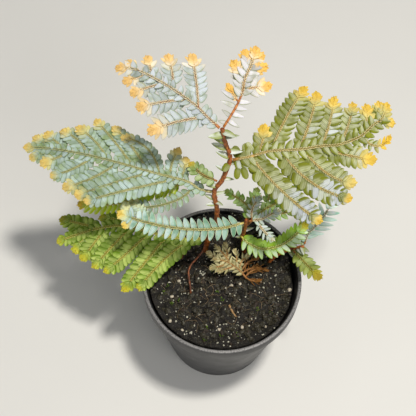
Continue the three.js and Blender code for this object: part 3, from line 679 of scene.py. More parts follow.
upperLeftFrond = {
    "node": "frond_upper_left", "slot": "white_blade",
    "root": (-6.6, 32.2, 152.2), "end": (-54.5, 56, 158), "facing": (0, -0.38, 1), "arch": 3, "cup": 2,
    "stalk": [(0, 0), (6, -1), (12, -2.5), (18, -3.2), (27, -3.8), (37, -3.8), (45.5, -3.2), (53.5, 0)],
    "stalkRadius": 0.7, "leafy": [(1.5, 12), (44, 53.5)], "sparse": [(12.5, 43)], "stalkHalf": 3.9,
    "half": 5.9,
    "ribs": [(7, 25, 17.5, -1, 5.7), (18.5, 35, 11, -0.5, 5), (31, 41, 7, -0.5, 4), (40, 47, 4, 0, 3.4),
        (12.5, 28, -22, -0.5, 5.2), (26.5, 37, -16, -1, 4.8), (36.5, 44.5, -11, 0, 4),
        (44.5, 51, -5, 0, 3.4)],
    "look": {"pitch": 2.8, "leafWidth": 3.1, "shape": "blade", "capShare": 1.1, "ripeLength": 7,
        "tipWidth": 0.22},
    "colours": {"deep": (122, 134, 112), "body": (158, 173, 162), "pale": (198, 208, 218),
        "edge": (150, 164, 118), "turning": (240, 224, 186), "ripe": (230, 184, 98), "rib": (206, 186, 140),
        "ribGlint": (240, 232, 214), "stalkDark": (128, 66, 26), "stalkLight": (196, 126, 66)},
}
addFrond("upperLeftFrond", upperLeftFrond)

upperRightFrond = {
    "node": "frond_upper_right", "slot": "white_blade",
    "root": (-4.85, 32.8, 152.3), "end": (7, 67.5, 164), "facing": (0.15, -0.45, 1), "arch": 2, "cup": 1,
    "stalk": [(0, 0), (5.5, -0.8), (12.5, -1.5), (17.5, -1.2), (23, 0), (30, 0), (39, 0.6)],
    "stalkRadius": 0.65, "leafy": [(15, 39)], "stalkHalf": 5.2, "half": 5.2,
    "loose": [(3.5, -0.8, -101, 5.8, 0.42, 1.2), (6.6, -0.9, -83, 5.8, 0.42, 1.3),
        (9.6, -1.2, -76, 5.6, 0.42, 1.2), (12.6, -1.4, -72, 5.8, 0.45, 1.3), (5.4, -0.8, 74, 4.8, 0.42, 0.4),
        (10, -1, 88, 7, 0.34, 0.9), (13.4, 0.6, 86, 7.2, 0.34, 1.2), (2, -0.4, 96, 4, 0.5, 0.6)],
    "ribLooks": {5: {"pitch": 1.7, "leafWidth": 1.5, "angle": 36, "ripeLength": 9, "tipWidth": 0.4}},
    "ribs": [(22.5, 28.5, 7.7, 0), (28.5, 35.5, 5, 0), (32, 37.6, -3, 0), (27, 33, -6.6, 0.5),
        (18, 25.4, -11.4, 0.5), (12.8, 17.8, 5.8, 0.4, 2.2)],
    "look": {"pitch": 2.9, "angle": 58, "leafWidth": 3.1, "shape": "blade", "looseShape": "pointed",
        "ripeLength": 8, "tipWidth": 0.22},
    "colours": {"deep": (128, 130, 104), "body": (172, 176, 164), "pale": (220, 220, 226),
        "edge": (146, 158, 92), "turning": (242, 222, 180), "ripe": (234, 182, 66), "rib": (204, 168, 104),
        "ribGlint": (238, 226, 196), "stalkDark": (140, 74, 24), "stalkLight": (206, 132, 60)},
}
addFrond("upperRightFrond", upperRightFrond)

rightFrond = {
    "node": "frond_right", "slot": "olive_blade",
    "root": (0.3, 27, 136), "end": (70, 63.5, 138), "facing": (0.02, -0.36, 1), "arch": 5, "cup": 3,
    "stalk": [(0, 0), (7.5, -1.7), (16.5, -2.7), (29, -6.7), (39.5, -8.8), (47.5, -10.8), (58.5, -10.3),
        (66.5, -7.4), (72.5, -5.5), (78.5, 0)],
    "stalkRadius": 0.75, "leafy": [(2, 8), (72, 80)], "sparse": [(9, 71)], "stalkHalf": 4.6, "half": 5.6,
    "loose": [(1.6, -0.9, -102, 5, 0.6, 1.4), (3.9, -1.1, -92, 5.4, 0.6, 1.4),
        (6.3, -1.5, -84, 5.2, 0.6, 1.35), (0.8, -4.4, -122, 5, 0.6, 0.4), (3, -5, -98, 5.4, 0.6, 0.3),
        (5.4, -5, -64, 4.6, 0.6, 0.5), (3, 0.2, 96, 5.6, 0.7, 0.3), (6.6, -0.6, 74, 5.8, 0.7, 0.5),
        (9, 0, 100, 5, 0.7, 1), (-2.4, -1, -150, 4, 0.8, 0.6)],
    "ribLooks": {1: {"sidePale": (0.7, 1.2)}, 2: {"sidePale": (0.8, 1.3)}, 3: {"sidePale": (1.05, 1.4)},
        4: {"sidePale": (1.15, 1.4)}, 5: {"sidePale": (1.1, 1.3)},
        8: {"paleAt": (0.5, 2.5), "pitch": 2.8, "leafWidth": 4.2, "ripeLength": 4.5, "shape": "oblong"},
        9: {"paleAt": (0.5, 2.3), "pitch": 3.0, "leafWidth": 4.8, "shape": "oblong", "ripeLength": 4.5},
        10: {"paleAt": (0.6, 1.9), "pitch": 2.8, "leafWidth": 4, "ripeLength": 7, "tipRipe": 0.8},
        11: {"paleAt": (0.8, 1.6), "ripeLength": 9}, 12: {"tipRipe": 1.3, "ripeLength": 8, "leafWidth": 2}},
    "ribs": [(11, 18.5, 9.5, -1), (17, 44, 20, 1), (30, 48, 15.5, -0.5), (40.5, 54.5, 10.5, -0.5),
        (49.5, 62, 5, -0.5), (61, 68, 2.5, -1), (68.5, 75, 2, -1), (73, 77.5, -9.5, 0.5),
        (8, 28.5, -39, -2.5), (21.5, 45, -34.5, -4.5), (32, 49, -29, -3.5), (38, 62, -22.3, -0.8),
        (60.5, 73.5, -14.5, -4.5, 3)],
    "look": {"pitch": 2.8, "angle": 60, "leafWidth": 3.6, "shape": "blade", "ripeLength": 6, "capShare": 1.9,
        "tipWidth": 0.19, "looseShape": "oblong", "paleSide": (-0.6, 0.2), "edgeShare": 0.3},
    "colours": {"deep": (80, 90, 0), "body": (128, 134, 0), "pale": (184, 190, 154), "edge": (118, 122, 8),
        "paintedSheenWhite": (188, 196, 202), "turning": (222, 208, 130), "ripe": (224, 184, 56), "rib": (186, 170, 104),
        "ribGlint": (222, 212, 170), "stalkDark": (150, 100, 36), "stalkLight": (214, 178, 98)},
}
addFrond("rightFrond", rightFrond)

paleShoot = {"ripeLength": 16, "leafWidth": 1.9, "pitch": 1.5, "paleAt": (0.8, 0.8)}
frontFrond = {
    "node": "frond_front", "slot": "teal_blade",
    "root": (8, 13.4, 103.6), "end": (-50.5, 10, 108), "facing": (0, -0.32, 1),
    "stalk": [(0, 0), (8.5, 3.1), (18, 4.8), (27.5, 5.2), (37, 4.7), (46.5, 3.2), (53, 1.6), (59, 0)],
    "stalkRadius": 0.6, "leafy": [(1.5, 59)], "stalkHalf": 5.6, "half": 5,
    "ribLooks": {1: {**paleShoot, "tipRipe": 0.5}, 2: {**paleShoot, "tipRipe": 0.4}},
    "ribs": [(52, 56.5, 5.5, 0), (52.5, 57.5, -4.6, -0.8, 4.2), (46.5, 52.5, -5, -0.8, 3.8)],
    "look": {"pitch": 3.3, "angle": 76, "leafWidth": 3.1, "shape": "blade", "edgeShare": 0.95,
        "paleAt": (0.5, 1.6), "sweep": 0.06, "roll": -7},
    "colours": {"deep": (66, 110, 76), "body": (100, 154, 122), "pale": (188, 212, 208),
        "edge": (232, 232, 196), "paintedSheenWhite": (208, 224, 228), "turning": (224, 222, 150), "ripe": (228, 192, 70),
        "rib": (170, 160, 86), "ribGlint": (226, 220, 160), "stalkDark": (150, 130, 50),
        "stalkLight": (216, 202, 122)},
}
addFrond("frontFrond", frontFrond)

centreFrond = {
    "node": "frond_centre", "slot": "teal_blade",
    "root": (10.4, 14.9, 103), "end": (25, 20, 106), "stalk": [(0, 0), (6, -1.1), (11.5, -0.2), (15.5, 0)],
    "leafy": [(1.5, 15.5)], "stalkHalf": 3.2, "half": 3.3,
    "ribs": [(1.5, 9, 9.2, 1.8), (3.4, 8.2, -12.2, -0.5)],
    "look": {"pitch": 2.1, "angle": 60, "leafWidth": 1.6, "shape": "narrow", "ripeLength": 3, "tipRipe": 0.3},
    "colours": {"deep": (116, 138, 84), "body": (168, 190, 156), "pale": (214, 226, 230),
        "edge": (134, 158, 104), "turning": (210, 200, 120), "ripe": (214, 180, 90), "rib": (206, 190, 140),
        "ribGlint": (240, 234, 206), "stalkDark": (130, 70, 30), "stalkLight": (196, 130, 66)},
}
addFrond("centreFrond", centreFrond)

backFronds = {
    "node": "frond_back", "slot": "leaf_green_blade",
    "look": {"pitch": 2.7, "leafWidth": 2.7, "shape": "pointed", "ripeLength": 3, "tipRipe": 0.5},
    # Painted light: these colours are made lighter to stand in for the sun the right fan keeps off these
    # sprays.
    "colours": {"deep": (96, 140, 26), "body": (158, 204, 64), "pale": (206, 232, 172),
        "edge": (116, 156, 40), "turning": (180, 180, 60), "ripe": (206, 176, 60), "rib": (190, 180, 90),
        "ribGlint": (228, 222, 150), "stalkDark": (110, 66, 26), "stalkLight": (170, 116, 54)},
    "sprays": [{
        "root": (9.9, 16.2, 96.5), "end": (-2, 30, 104),
        "stalk": [(0, 0), (4.5, -3.8), (7.6, -5.2), (13.2, -3.1), (19.4, 0)], "leafy": [(3, 20)],
        "stalkHalf": 3.3, "half": 3.4, "ribs": [(6.3, 12, -13.7, 0.4)],
    }, {
        "root": (9.9, 16.2, 96.5), "end": (35.5, 37.5, 104), "facing": (0.05, -0.3, 1), "arch": 2,
        "stalk": [(0, 0), (9.3, 0.9), (17, 0.1), (25.3, -0.3), (34.3, 0)], "leafy": [(7, 35)],
        "stalkHalf": 3.3, "half": 3.4, "ribs": [(7.7, 23, -7.8, -1.1), (11.2, 21, 8.7, -0.5)],
    }],
}
addFrond("backFronds", backFronds)

curvedFrond = {
    "node": "frond_curved", "slot": "green_blade",
    "root": (7.2, 14.2, 89), "end": (39, 20, 96), "facing": (0, -0.6, 1), "arch": 0,
    "stalk": [(0, 0), (3.6, -4.6), (9, -8), (15.8, -8.4), (23, -6.3), (32.5, 0)], "leafy": [(1.5, 38)],
    "stalkHalf": 4.9,
    "look": {"pitch": 2.7, "angle": 64, "shape": "blade", "ripeLength": 4, "paleAt": (0.7, 0.8),
        "sidePale": (0.4, 2.2)},
    "colours": {"deep": (90, 128, 0), "body": (152, 194, 0), "pale": (182, 214, 160), "edge": (178, 204, 72),
        "paintedSheenWhite": (206, 228, 196), "turning": (196, 200, 60), "ripe": (214, 196, 50), "rib": (178, 176, 84),
        "ribGlint": (222, 220, 160), "stalkDark": (130, 116, 40), "stalkLight": (198, 182, 84)},
}
addFrond("curvedFrond", curvedFrond)

lowRightFrond = {
    "node": "frond_low_right", "slot": "leaf_green_blade",
    "root": (34.3, 13.9, 78), "end": (48, -0.7, 79), "facing": (0.1, -0.2, 1),
    "stalk": [(0, 0), (10.8, -0.4), (20, 0)], "stalkRadius": 0.5, "leafy": [(1.5, 20)], "stalkHalf": 4.6,
    "look": {"pitch": 2.6, "leafWidth": 3.3, "shape": "blade", "ripeLength": 8, "tipRipe": 0.85,
        "tipWidth": 0.2},
    "colours": {"deep": (74, 86, 0), "body": (116, 128, 14), "pale": (172, 188, 120), "edge": (87, 116, 18),
        "turning": (146, 152, 36), "ripe": (180, 146, 14), "rib": (150, 140, 60), "ribGlint": (200, 190, 110),
        "stalkDark": (124, 70, 28), "stalkLight": (186, 120, 54)},
}
addFrond("lowRightFrond", lowRightFrond)

farRightFrond = {
    "node": "frond_far_right", "slot": "pale_blade",
    "root": (39.4, 16, 82.7), "end": (51, 32.4, 97), "facing": (0.1, -0.3, 1),
    "stalk": [(0, 0), (5.4, 1.4), (11, 0.5), (17, 0), (24, 0.3)], "stalkRadius": 0.5, "leafy": [(1.2, 20.5)],
    "stalkHalf": 6.2,
    "loose": [(20.8, 0.3, 34, 5.6, 0.4, 1), (21.5, 0.1, -30, 5.8, 0.4, 1), (22.5, 0.3, 4, 4, 0.4, 0.8)],
    "look": {"pitch": 3.1, "angle": 60, "leafWidth": 2.4, "shape": "blade", "ripeLength": 3, "tipRipe": 0.1,
        "tipZone": 4, "edgeShare": 0.8},
    # Painted light: the pale colour is near white to stand in for the sun the right fan keeps off this frond.
    "colours": {"deep": (110, 168, 146), "body": (156, 208, 190), "pale": (240, 250, 246),
        "edge": (242, 248, 226), "turning": (210, 220, 180), "ripe": (214, 200, 130), "rib": (204, 196, 160),
        "ribGlint": (236, 232, 214), "stalkDark": (134, 74, 30), "stalkLight": (196, 126, 60)},
}
addFrond("farRightFrond", farRightFrond)

lowLeftFrond = {
    "node": "frond_low_left", "slot": "green_blade",
    "root": (-9.9, 14.4, 82), "end": (-85, 10, 73), "facing": (0, -0.25, 1), "arch": 4, "cup": 3,
    "stalk": [(0, 0), (12, 0.2), (24.5, -2.3), (34.5, -4.9), (43, -6.7), (56.5, -5.1), (75, 0)],
    "stalkRadius": 0.65, "leafy": [(2, 8), (58, 75.5)], "sparse": [(9, 57)], "stalkHalf": 3.6, "half": 4.9,
    "ribs": [(7.5, 33, 24.5, -1.2), (19, 40.5, 25, 0), (28, 49.5, 16, 0.6), (38, 55.5, 13.5, 0),
        (51, 62, 9.5, 0.5), (59, 65.5, 6, -1), (40, 53, -11.5, -1.6), (53, 74.5, -12.5, 0.4)],
    "look": {"pitch": 2.5, "angle": 60, "leafWidth": 3.3, "ripeLength": 4, "tipRipe": 0.8,
        "paleSide": (-0.8, 0.2)},
    "colours": {"deep": (64, 98, 0), "body": (108, 142, 0), "pale": (190, 209, 112), "edge": (128, 152, 12),
        "turning": (190, 194, 50), "ripe": (206, 180, 40), "rib": (180, 172, 70), "ribGlint": (222, 216, 140),
        "stalkDark": (128, 112, 28), "stalkLight": (192, 178, 72)},
}
addFrond("lowLeftFrond", lowLeftFrond)

bareSprig = {"leafWidth": 0.5, "shape": "narrow", "ripeLength": 14, "tipRipe": 1.4, "angle": 34}
dryTuft = {
    "node": "dry_tuft", "slot": "dry_blade",
    "seat": [(12.5, 0.2, 60), (12.5, 0.2, 67), (12.3, 0.3, 71)],
    "root": (12.4, 0.2, 70.5), "end": (-5, 5.7, 78.5), "facing": (0, -0.25, 1), "arch": 0,
    "stalk": [(0, 0), (5.5, -1.5), (12.5, -2), (20, 0)], "stalkRadius": 0.6, "leafy": [(3, 20)],
    "stalkHalf": 3.2, "half": 3,
    "ribLooks": {0: bareSprig, 1: bareSprig, 4: bareSprig,
        10: {"leafWidth": 0.7, "shape": "narrow", "ripeLength": 12, "tipRipe": 1.2, "angle": 40},
        2: {"leafWidth": 1.2, "shape": "narrow", "paleAt": (1.5, 2)}},
    "ribs": [(1, -8, -9, 2.3), (4.3, -0.5, -12, 1.6), (8.3, 12.5, -9.5, -1), (9, 15, 4.2, 0.2),
        (0.5, -7, -3, -1), (11, 22, -6, -0.6), (13, 18.5, -9.5, -0.6), (6, 4.5, -11, 1.2), (12, 19, 5, 0.4),
        (15, 24, -1, 0.3), (3.5, -4, -8, 1.2)],
    "look": {"pitch": 2.2, "angle": 58, "leafWidth": 1.8, "shape": "pointed", "droop": 8, "droopSpread": 14,
        "rollSpread": 20, "curl": 0.12, "camber": 0.1, "scaleLength": 1.3, "scaleWidth": 0.5, "ripeLength": 3,
        "tipRipe": 0.3, "tipWidth": 0.2, "tipShape": "narrow", "paleSide": (-1, 0)},
    "colours": {"deep": (84, 80, 40), "body": (136, 130, 78), "pale": (214, 206, 158),
        "edge": (176, 160, 100), "turning": (150, 110, 54), "ripe": (122, 80, 28), "rib": (190, 150, 80),
        "ribGlint": (226, 210, 160), "stalkDark": (140, 84, 36), "stalkLight": (168, 122, 70)},
}
addFrond("dryTuft", dryTuft)


stems = {
    "mainStem": {
        "node": "main_stem", "slot": "stem", "radii": [1.35, 1.15, 0.95], "knots": 9,
        "points": [(-9.8, 14, 58.3), (-9.8, 14, 67), (-8.6, 14.9, 80), (-4.8, 16.7, 101), (-6.8, 20.1, 118),
                   (-3.8, 22.2, 126), (-0.9, 26.8, 136), (-3.2, 29.3, 144), (-5.4, 31.4, 153)],
        # Single leaves: share of the stem's length, compass degrees, length.
        "leaves": [(0.535, 200, 3.6), (0.55, 330, 3.4), (0.57, 170, 3.8), (0.6, 20, 3.4), (0.66, 190, 3.6),
                   (0.71, 0, 3.6), (0.76, 170, 4), (0.8, 15, 4.2), (0.835, 176, 5.2), (0.865, 8, 4.6),
                   (0.885, 172, 5.4), (0.925, 168, 5.4), (0.95, 10, 5), (0.965, 205, 5.6), (0.985, 335, 5.4)],
    },
    "secondStem": {
        "node": "second_stem", "slot": "stem", "radii": [1.15, 0.8], "knots": 5,
        "points": [(10.2, 15.5, 58.3), (10.2, 15.5, 68), (8.8, 15.6, 82), (9.1, 14.3, 105)],
        "leaves": [(0.6, 200, 3), (0.75, 20, 3.2), (0.86, 170, 3.4)],
    },
    "sideStem": {
        "node": "side_stem", "slot": "stem", "radii": [1, 0.7], "knots": 5,
        "points": [(23.7, 11.6, 58.3), (23.7, 11.6, 64), (23.8, 11.7, 69.5), (27.4, 13.7, 73.5),
                   (32.9, 15.3, 76.5), (39.2, 15.1, 82)],
        "leaves": [(0.66, 120, 3), (0.72, 300, 3.6), (0.8, 292, 4.2), (0.84, 110, 3.6), (0.88, 305, 4.4),
                   (0.93, 330, 4.2), (0.96, 285, 4), (0.99, 100, 3.6)],
    },
    "frontRoot": {
        "node": "front_root", "slot": "aerial_root", "radii": [0.5, 0.4], "knots": 0, "leaves": [],
        "points": [(-9.8, 13.3, 77.6), (-10.6, 10.1, 77.2), (-13.7, 6.3, 75), (-16.3, 2, 74),
                   (-16.6, -2.5, 73), (-15, -8.7, 70.5), (-14.7, -9.7, 66), (-14.7, -9.7, 58.3)],
    },
    "leftRoot": {
        "node": "left_root", "slot": "aerial_root", "radii": [0.45, 0.4], "knots": 0, "leaves": [],
        "points": [(-17.4, 12.4, 80.9), (-18.8, 11.4, 76), (-21, 9.7, 70), (-21.2, 9.6, 66),
                   (-21.2, 9.6, 58.3)],
    },
}
stemSkin = stalkMaterial("rustStem", (112, 56, 18), (180, 104, 44), 0.4)
rootSkin = stalkMaterial("rootSkin", (72, 34, 16), (142, 78, 38), 0.5)
plainLeaf = {"rib": (0, 0, 0), "ribGlint": (0, 0, 0), "edgeShare": 0.4}
stemLeafSkin = leafMaterial("stemLeafSkin", {
    **plainLeaf, "deep": (104, 116, 44), "body": (160, 172, 112), "pale": (214, 222, 220),
    "edge": (128, 128, 64), "turning": (190, 150, 80), "ripe": (200, 120, 50), "paleSide": (-0.8, 0.4)})
stemLook = {**commonLook, "droop": -4, "roll": 0, "rollSpread": 14, "droopSpread": 9}
stemScaleLook = {**stemLook, "droop": -12, "droopSpread": 5, "curl": 0.06, "groove": 0}


stemShape = {
    "step": 0.8, "sway": 0.12, "swayPace": (0.31, 0.23), "swayFade": 6, "knotSwell": 0.07, "knotSharpness": 6,
    "inSoil": 12, "scalePitch": 1.7, "scaleTurn": 2.4, "leafWidth": 0.62,
}


# Small scales that hug a stem above the soil, turned a little further round it each time.
def stemScales(line, stem):
    count = int((line["length"] - stemShape["inSoil"]) / stemShape["scalePitch"])
    places = np.linspace(stemShape["inSoil"], line["length"] - 1, count)
    points, ahead = alongLine(line, places)
    outward = squareTo(ringOf(np.arange(count) * stemShape["scaleTurn"]), ahead)
    radius = atShares(stem["radii"], places / line["length"])
    return leafPart(
        points + outward * (radius * 0.93)[:, None], ahead, outward, 1.0, random.uniform(1.2, 1.8, count), 0.85,
        "scale", stemScaleLook, ripe=(1.1, 0.8), small=True, tint=random.uniform(0.2, 1, count), pale=0.6)


def stemPiece(name, stem):
    line = measured(splineThrough(stem["points"]))
    shares = np.linspace(0, 1, int(line["length"] / stemShape["step"]))
    steps = np.arange(len(shares))
    points, _ = alongLine(line, shares * line["length"])
    paceX, paceY = stemShape["swayPace"]
    sway = np.stack([np.sin(steps * paceX), np.cos(steps * paceY), np.zeros(len(steps))], axis=1)
    fade = np.minimum(1, np.minimum(steps, steps[::-1]) / stemShape["swayFade"])[:, None]
    points = points + sway * stemShape["sway"] * fade
    knots = np.maximum(0, np.sin(shares * stem["knots"] * fullTurn)) ** stemShape["knotSharpness"]
    radii = atShares(stem["radii"], shares) * (1 + stemShape["knotSwell"] * knots)
    parts = [tubePart(points, radii, 14 if stem["knots"] else 8, 1, 0.05, (1, 0, 0))]
    for share, degrees, length in stem["leaves"]:
        base, _ = alongLine(line, share * line["length"])
        ahead = ringOf(np.radians([degrees]), 1.0, 0.12)
        parts.append(leafPart(
            base, ahead, np.array([[0.0, -0.3, 1.0]]), 1.0, length * 1.1 + stem["radii"][0],
            length * stemShape["leafWidth"], "pointed", stemLook,
            tint=random.uniform(0.4, 1, 1), pale=random.uniform(0.7, 1.5, 1)))
    if stem["knots"]:
        parts.append(stemScales(line, stem))
    addPiece(name, parts, [stemLeafSkin, stemSkin if stem["knots"] else rootSkin], stem["node"])
    print("made", name)


for stemName, stem in stems.items():
    stemPiece(stemName, stem)


pot = {
    "height": 70, "rimRadius": 40, "lipHeight": 7, "lipStep": 1.2, "wall": 1.6, "baseRadius": 28, "floor": 2.2,
    "segments": 144, "drainHoles": 6, "drainRadius": 3, "drainCircle": 18,
    # The pale grey for the rim's top is a painted highlight.
    "plasticDark": (22, 22, 24), "plasticLight": (34, 34, 37), "dust": (90, 86, 80), "rimHighlightColour": (128, 127, 128),
}


# Dark plastic with dust specks, and a painted highlight, pale and patchy, along the rim's top.
def plasticMaterial():
    finish = Finish("potPlastic")
    haze, specks = finish.noise(9, 4), finish.noise(0.7)
    height = finish.node("ShaderNodeSeparateXYZ", {"Vector": finish.place()}, "Z")
    top = pot["height"] * mm
    # Painted highlight: a patchy pale band along the rim's top.
    paintedRimHighlight = finish.times(finish.band(height, top - 0.7 * mm, top - 0.05 * mm), finish.band(specks, 0.2, 0.6))
    colour = finish.mixed(haze, pot["plasticDark"], pot["plasticLight"])
    colour = finish.mixed(finish.times(finish.band(specks, 0.6, 0.75), 0.25), colour, pot["dust"])
    colour = finish.mixed(paintedRimHighlight, colour, pot["rimHighlightColour"])
    finish.bump(finish.plus(specks, finish.noise(3)), 0.15, 0.2)
    return finish.done(colour, finish.scaled(haze, 0.25, 0.33))


def roundedCorner(before, corner, after, radius, steps=4):
    before, corner, after = (np.array(point, float) for point in (before, corner, after))
    first, last = (corner + unit(other - corner) * radius for other in (before, after))
    t = np.linspace(0, 1, steps)[:, None]
    return list((1 - t) ** 2 * first + 2 * t * (1 - t) * corner + t**2 * last)


def potPiece():
    height, rim, base, inside = pot["height"], pot["rimRadius"], pot["baseRadius"], pot["floor"]
    outer, lipFoot = rim - pot["lipStep"], height - pot["lipHeight"]
    # The profile's corners, radius and height, and how much each is rounded.
    corners = [
        ((0, 0), 0), ((base - 3, 0), 0.3), ((base - 2.4, 0.8), 0.3), ((base - 1.4, 0.8), 0.2),
        ((base - 1.0, 0), 0.3), ((base, 0), 0.7), ((outer - 0.25, lipFoot - 0.6), 0.3),
        ((rim - 0.1, lipFoot), 0.5), ((rim, height - 0.1), 0.5), ((rim - 1.5, height), 0.4),
        ((outer - pot["wall"] + 0.4, height - 1.6), 0.8), ((base - pot["wall"], inside), 1.0), ((0, inside), 0)]
    rings = [[(1.0, 0)]]
    for (before, _), (corner, radius), (after, _) in zip(corners, corners[1:], corners[2:]):
        rings.append(roundedCorner(before, corner, after, radius))
    rings = np.vstack(rings + [[(1.0, inside)]])
    turns = np.arange(pot["segments"]) / pot["segments"] * fullTurn
    points = ringOf(turns[None], rings[:, :1], rings[:, 1:]).reshape(-1, 3)
    shell = part(points, ringQuads(len(rings), pot["segments"]), 0)
    piece = addPiece("potShell", [shell], [plasticMaterial()], "pot")
    cutters = []
    for hole in ringOf((np.arange(pot["drainHoles"]) + 0.5) / pot["drainHoles"] * fullTurn, pot["drainCircle"]):
        ends = [hole - [0, 0, 2], hole + [0, 0, 5]]
        cutters.append(tubePart(ends, [pot["drainRadius"]] * 2, 24, 0, 0, (1, 0, 0)))
    cutter = addPiece("drainCutter", cutters, [])
    cut = piece.modifiers.new("drainHoles", "BOOLEAN")
    cut.operation, cut.solver, cut.object = "DIFFERENCE", "EXACT", cutter
    bpy.context.view_layer.objects.active = piece
    bpy.ops.object.modifier_apply(modifier="drainHoles")
    bpy.data.objects.remove(cutter)
    print("made potShell", len(piece.data.polygons))


potPiece()


soil = {
    "level": 67, "backHeap": 6.5, "rightHollow": 3, "roughness": 0.5, "foot": 2.6, "gap": 0.35,
    "rings": 60, "sectors": 220, "lumps": 0.95, "lumpSeed": 7,
    "heapFrom": (4, 34), "hollowFrom": (16, 38), "scatterReach": 36.2, "scatterSquare": 37,
    # Waves that make the lumps: their length and strength.
    "waves": [(7, 1.0), (3.4, 0.6), (1.7, 0.42), (0.9, 0.26)],
    "dark": (7, 6, 4), "light": (22, 18, 12), "grain": (54, 44, 34), "glint": (150, 147, 128),
}


def soilMaterial():
    finish = Finish("pottingMix")
    grains, lumps = finish.noise(0.6, 5), finish.noise(3.2, 4)
    colour = finish.mixed(lumps, soil["dark"], soil["light"])
    colour = finish.mixed(finish.band(grains, 0.55, 0.72), colour, soil["grain"])
    colour = finish.mixed(finish.band(finish.noise(0.4, 2), 0.64, 0.76), colour, soil["glint"])
    finish.bump(finish.plus(grains, lumps), 0.9, 0.8)
    return finish.done(colour, finish.scaled(grains, 0.5, 0.45))


def soilLumps(x, y):
    layers = np.zeros(np.shape(x))
    own = np.random.default_rng(soil["lumpSeed"])
    for size, strength in soil["waves"]:
        for _ in range(4):
            angle, phase = own.uniform(0, fullTurn, 2)
            across = x * math.cos(angle) + y * math.sin(angle)
            layers += strength / 4 * np.sin(across * fullTurn / size + phase)
    return soil["lumps"] * layers


def soilHeight(x, y):
    heap = soil["backHeap"] * smoothStep(y, *soil["heapFrom"])
    hollow = soil["rightHollow"] * smoothStep(x - 0.4 * y, *soil["hollowFrom"])
    bumps = np.sin(x * 0.9 + y * 0.4) + np.sin(y * 0.7 - x * 0.5 + 1.3)
    return soil["level"] + heap - hollow + soil["roughness"] * bumps


def onSoil(x, y, lift):
    height = soilHeight(np.array(x), np.array(y)) + soilLumps(np.array(x), np.array(y))
    return np.array([x, y, float(height) + lift])


def innerRadius(z):
    share = (z - pot["floor"]) / (pot["height"] - pot["floor"])
    foot, top = pot["baseRadius"] - pot["wall"], pot["rimRadius"] - pot["lipStep"] - pot["wall"]
    return foot + share * (top - foot)


def soilPiece():
    turns = np.arange(soil["sectors"]) / soil["sectors"] * fullTurn
    reach = innerRadius(soil["level"]) - soil["gap"]
    edgeHeight = np.minimum(soilHeight(reach * np.cos(turns), reach * np.sin(turns)), pot["height"] - 0.6)
    edgeReach = innerRadius(edgeHeight) - soil["gap"]
    rows = [ringOf(turns, radius, soil["foot"]) for radius in (1.0, innerRadius(soil["foot"]) - soil["gap"])]
    for share in np.linspace(1, 0.02, soil["rings"]):
        x, y = share * edgeReach * np.cos(turns), share * edgeReach * np.sin(turns)
        z = soilHeight(x, y) + soilLumps(x, y) * (1 - smoothStep(share, 0.93, 1.0))
        rim = smoothStep(share, 0.86, 1)
        rows.append(np.stack([x, y, z * (1 - rim) + edgeHeight * rim], axis=1))
    body = part(np.vstack(rows), ringQuads(len(rows), soil["sectors"]), 0)
    addPiece("soilMound", [body], [soilMaterial()], "soil")
    print("made soilMound")


soilPiece()


lumpTip, lumpSpin = 0.6, 6.28  # the most that a lump is tipped and spun, in radians


# A rough lump from a squashed, dented ball of quads.
def lumpPart(centre, size, squash, tip, spin, dent=0.28):
    stations, ring = 6, 8
    angles = math.pi * np.linspace(0.09, 0.91, stations)[:, None]
    points = ringOf(np.arange(ring)[None] / ring * fullTurn, np.sin(angles), -np.cos(angles)).reshape(-1, 3)
    points = points * (1 + random.uniform(-dent, dent, len(points)))[:, None] * size * np.array(squash)
    turn = np.array(Matrix.Rotation(spin, 3, "Z") @ Matrix.Rotation(tip, 3, "X"))
    return part(points @ turn.T + centre, ringQuads(stations, ring), 0)


# Crumbs, bark and glints strewn over the soil. skin is a material's name, dark, light and roughness.
scatters = {
    "soilCrumbs": {"count": 620, "sizes": (0.5, 1.7), "squash": (1, 0.85, 0.6), "sink": 0.15,
                   "skin": ("darkCrumbs", (18, 17, 11), (64, 59, 42), 0.5)},
    "barkCrumbs": {"count": 110, "sizes": (0.7, 2.0), "squash": (1, 0.5, 0.35), "sink": 0.3,
                   "skin": ("barkSkin", (22, 16, 10), (56, 42, 28), 0.6)},
    "greyGlints": {"count": 480, "sizes": (0.18, 0.55), "squash": (1, 0.8, 0.5), "sink": 0.6,
                   "skin": ("glintSkin", (140, 138, 120), (214, 212, 196), 0.3)},
}


def scatteredLumps(scatter):
    parts = []
    while len(parts) < scatter["count"]:
        x, y = random.uniform(-soil["scatterSquare"], soil["scatterSquare"], 2)
        size = random.uniform(*scatter["sizes"])
        if math.hypot(x, y) > soil["scatterReach"] - size:
            continue
        tip, spin = random.uniform(-lumpTip, lumpTip), random.uniform(0, lumpSpin)
        parts.append(lumpPart(onSoil(x, y, size * scatter["sink"]), size, scatter["squash"], tip, spin))
    return parts


for name, scatter in scatters.items():
    addPiece(name, scatteredLumps(scatter), [crumbMaterial(*scatter["skin"])], smooth=False)

perlite = {
    # x, y and size of each bit.
    "places": [(-21.4, -2.9, 1.0), (5.3, -2.5, 0.8), (9.3, -2.2, 0.9), (-24, -11.9, 1.1),
               (34.5, -1.4, 1.2), (-23.5, -25.2, 1.0), (-17.2, -28.8, 0.9), (0.7, -27.1, 0.9),
               (11.8, -25, 1.0), (23.4, -21.8, 0.9)],
    "squash": (1, 0.85, 0.75), "sink": 0.45, "dent": 0.2, "tip": 1,
    "skin": ("perliteSkin", (168, 156, 134), (214, 206, 188), 0.9),
}
perliteParts = []
for x, y, size in perlite["places"]:
    tip, spin = random.uniform(-perlite["tip"], perlite["tip"]), random.uniform(0, lumpSpin)
    centre = onSoil(x, y, size * perlite["sink"])
    perliteParts.append(lumpPart(centre, size, perlite["squash"], tip, spin, perlite["dent"]))
addPiece("perliteBits", perliteParts, [crumbMaterial(*perlite["skin"])])

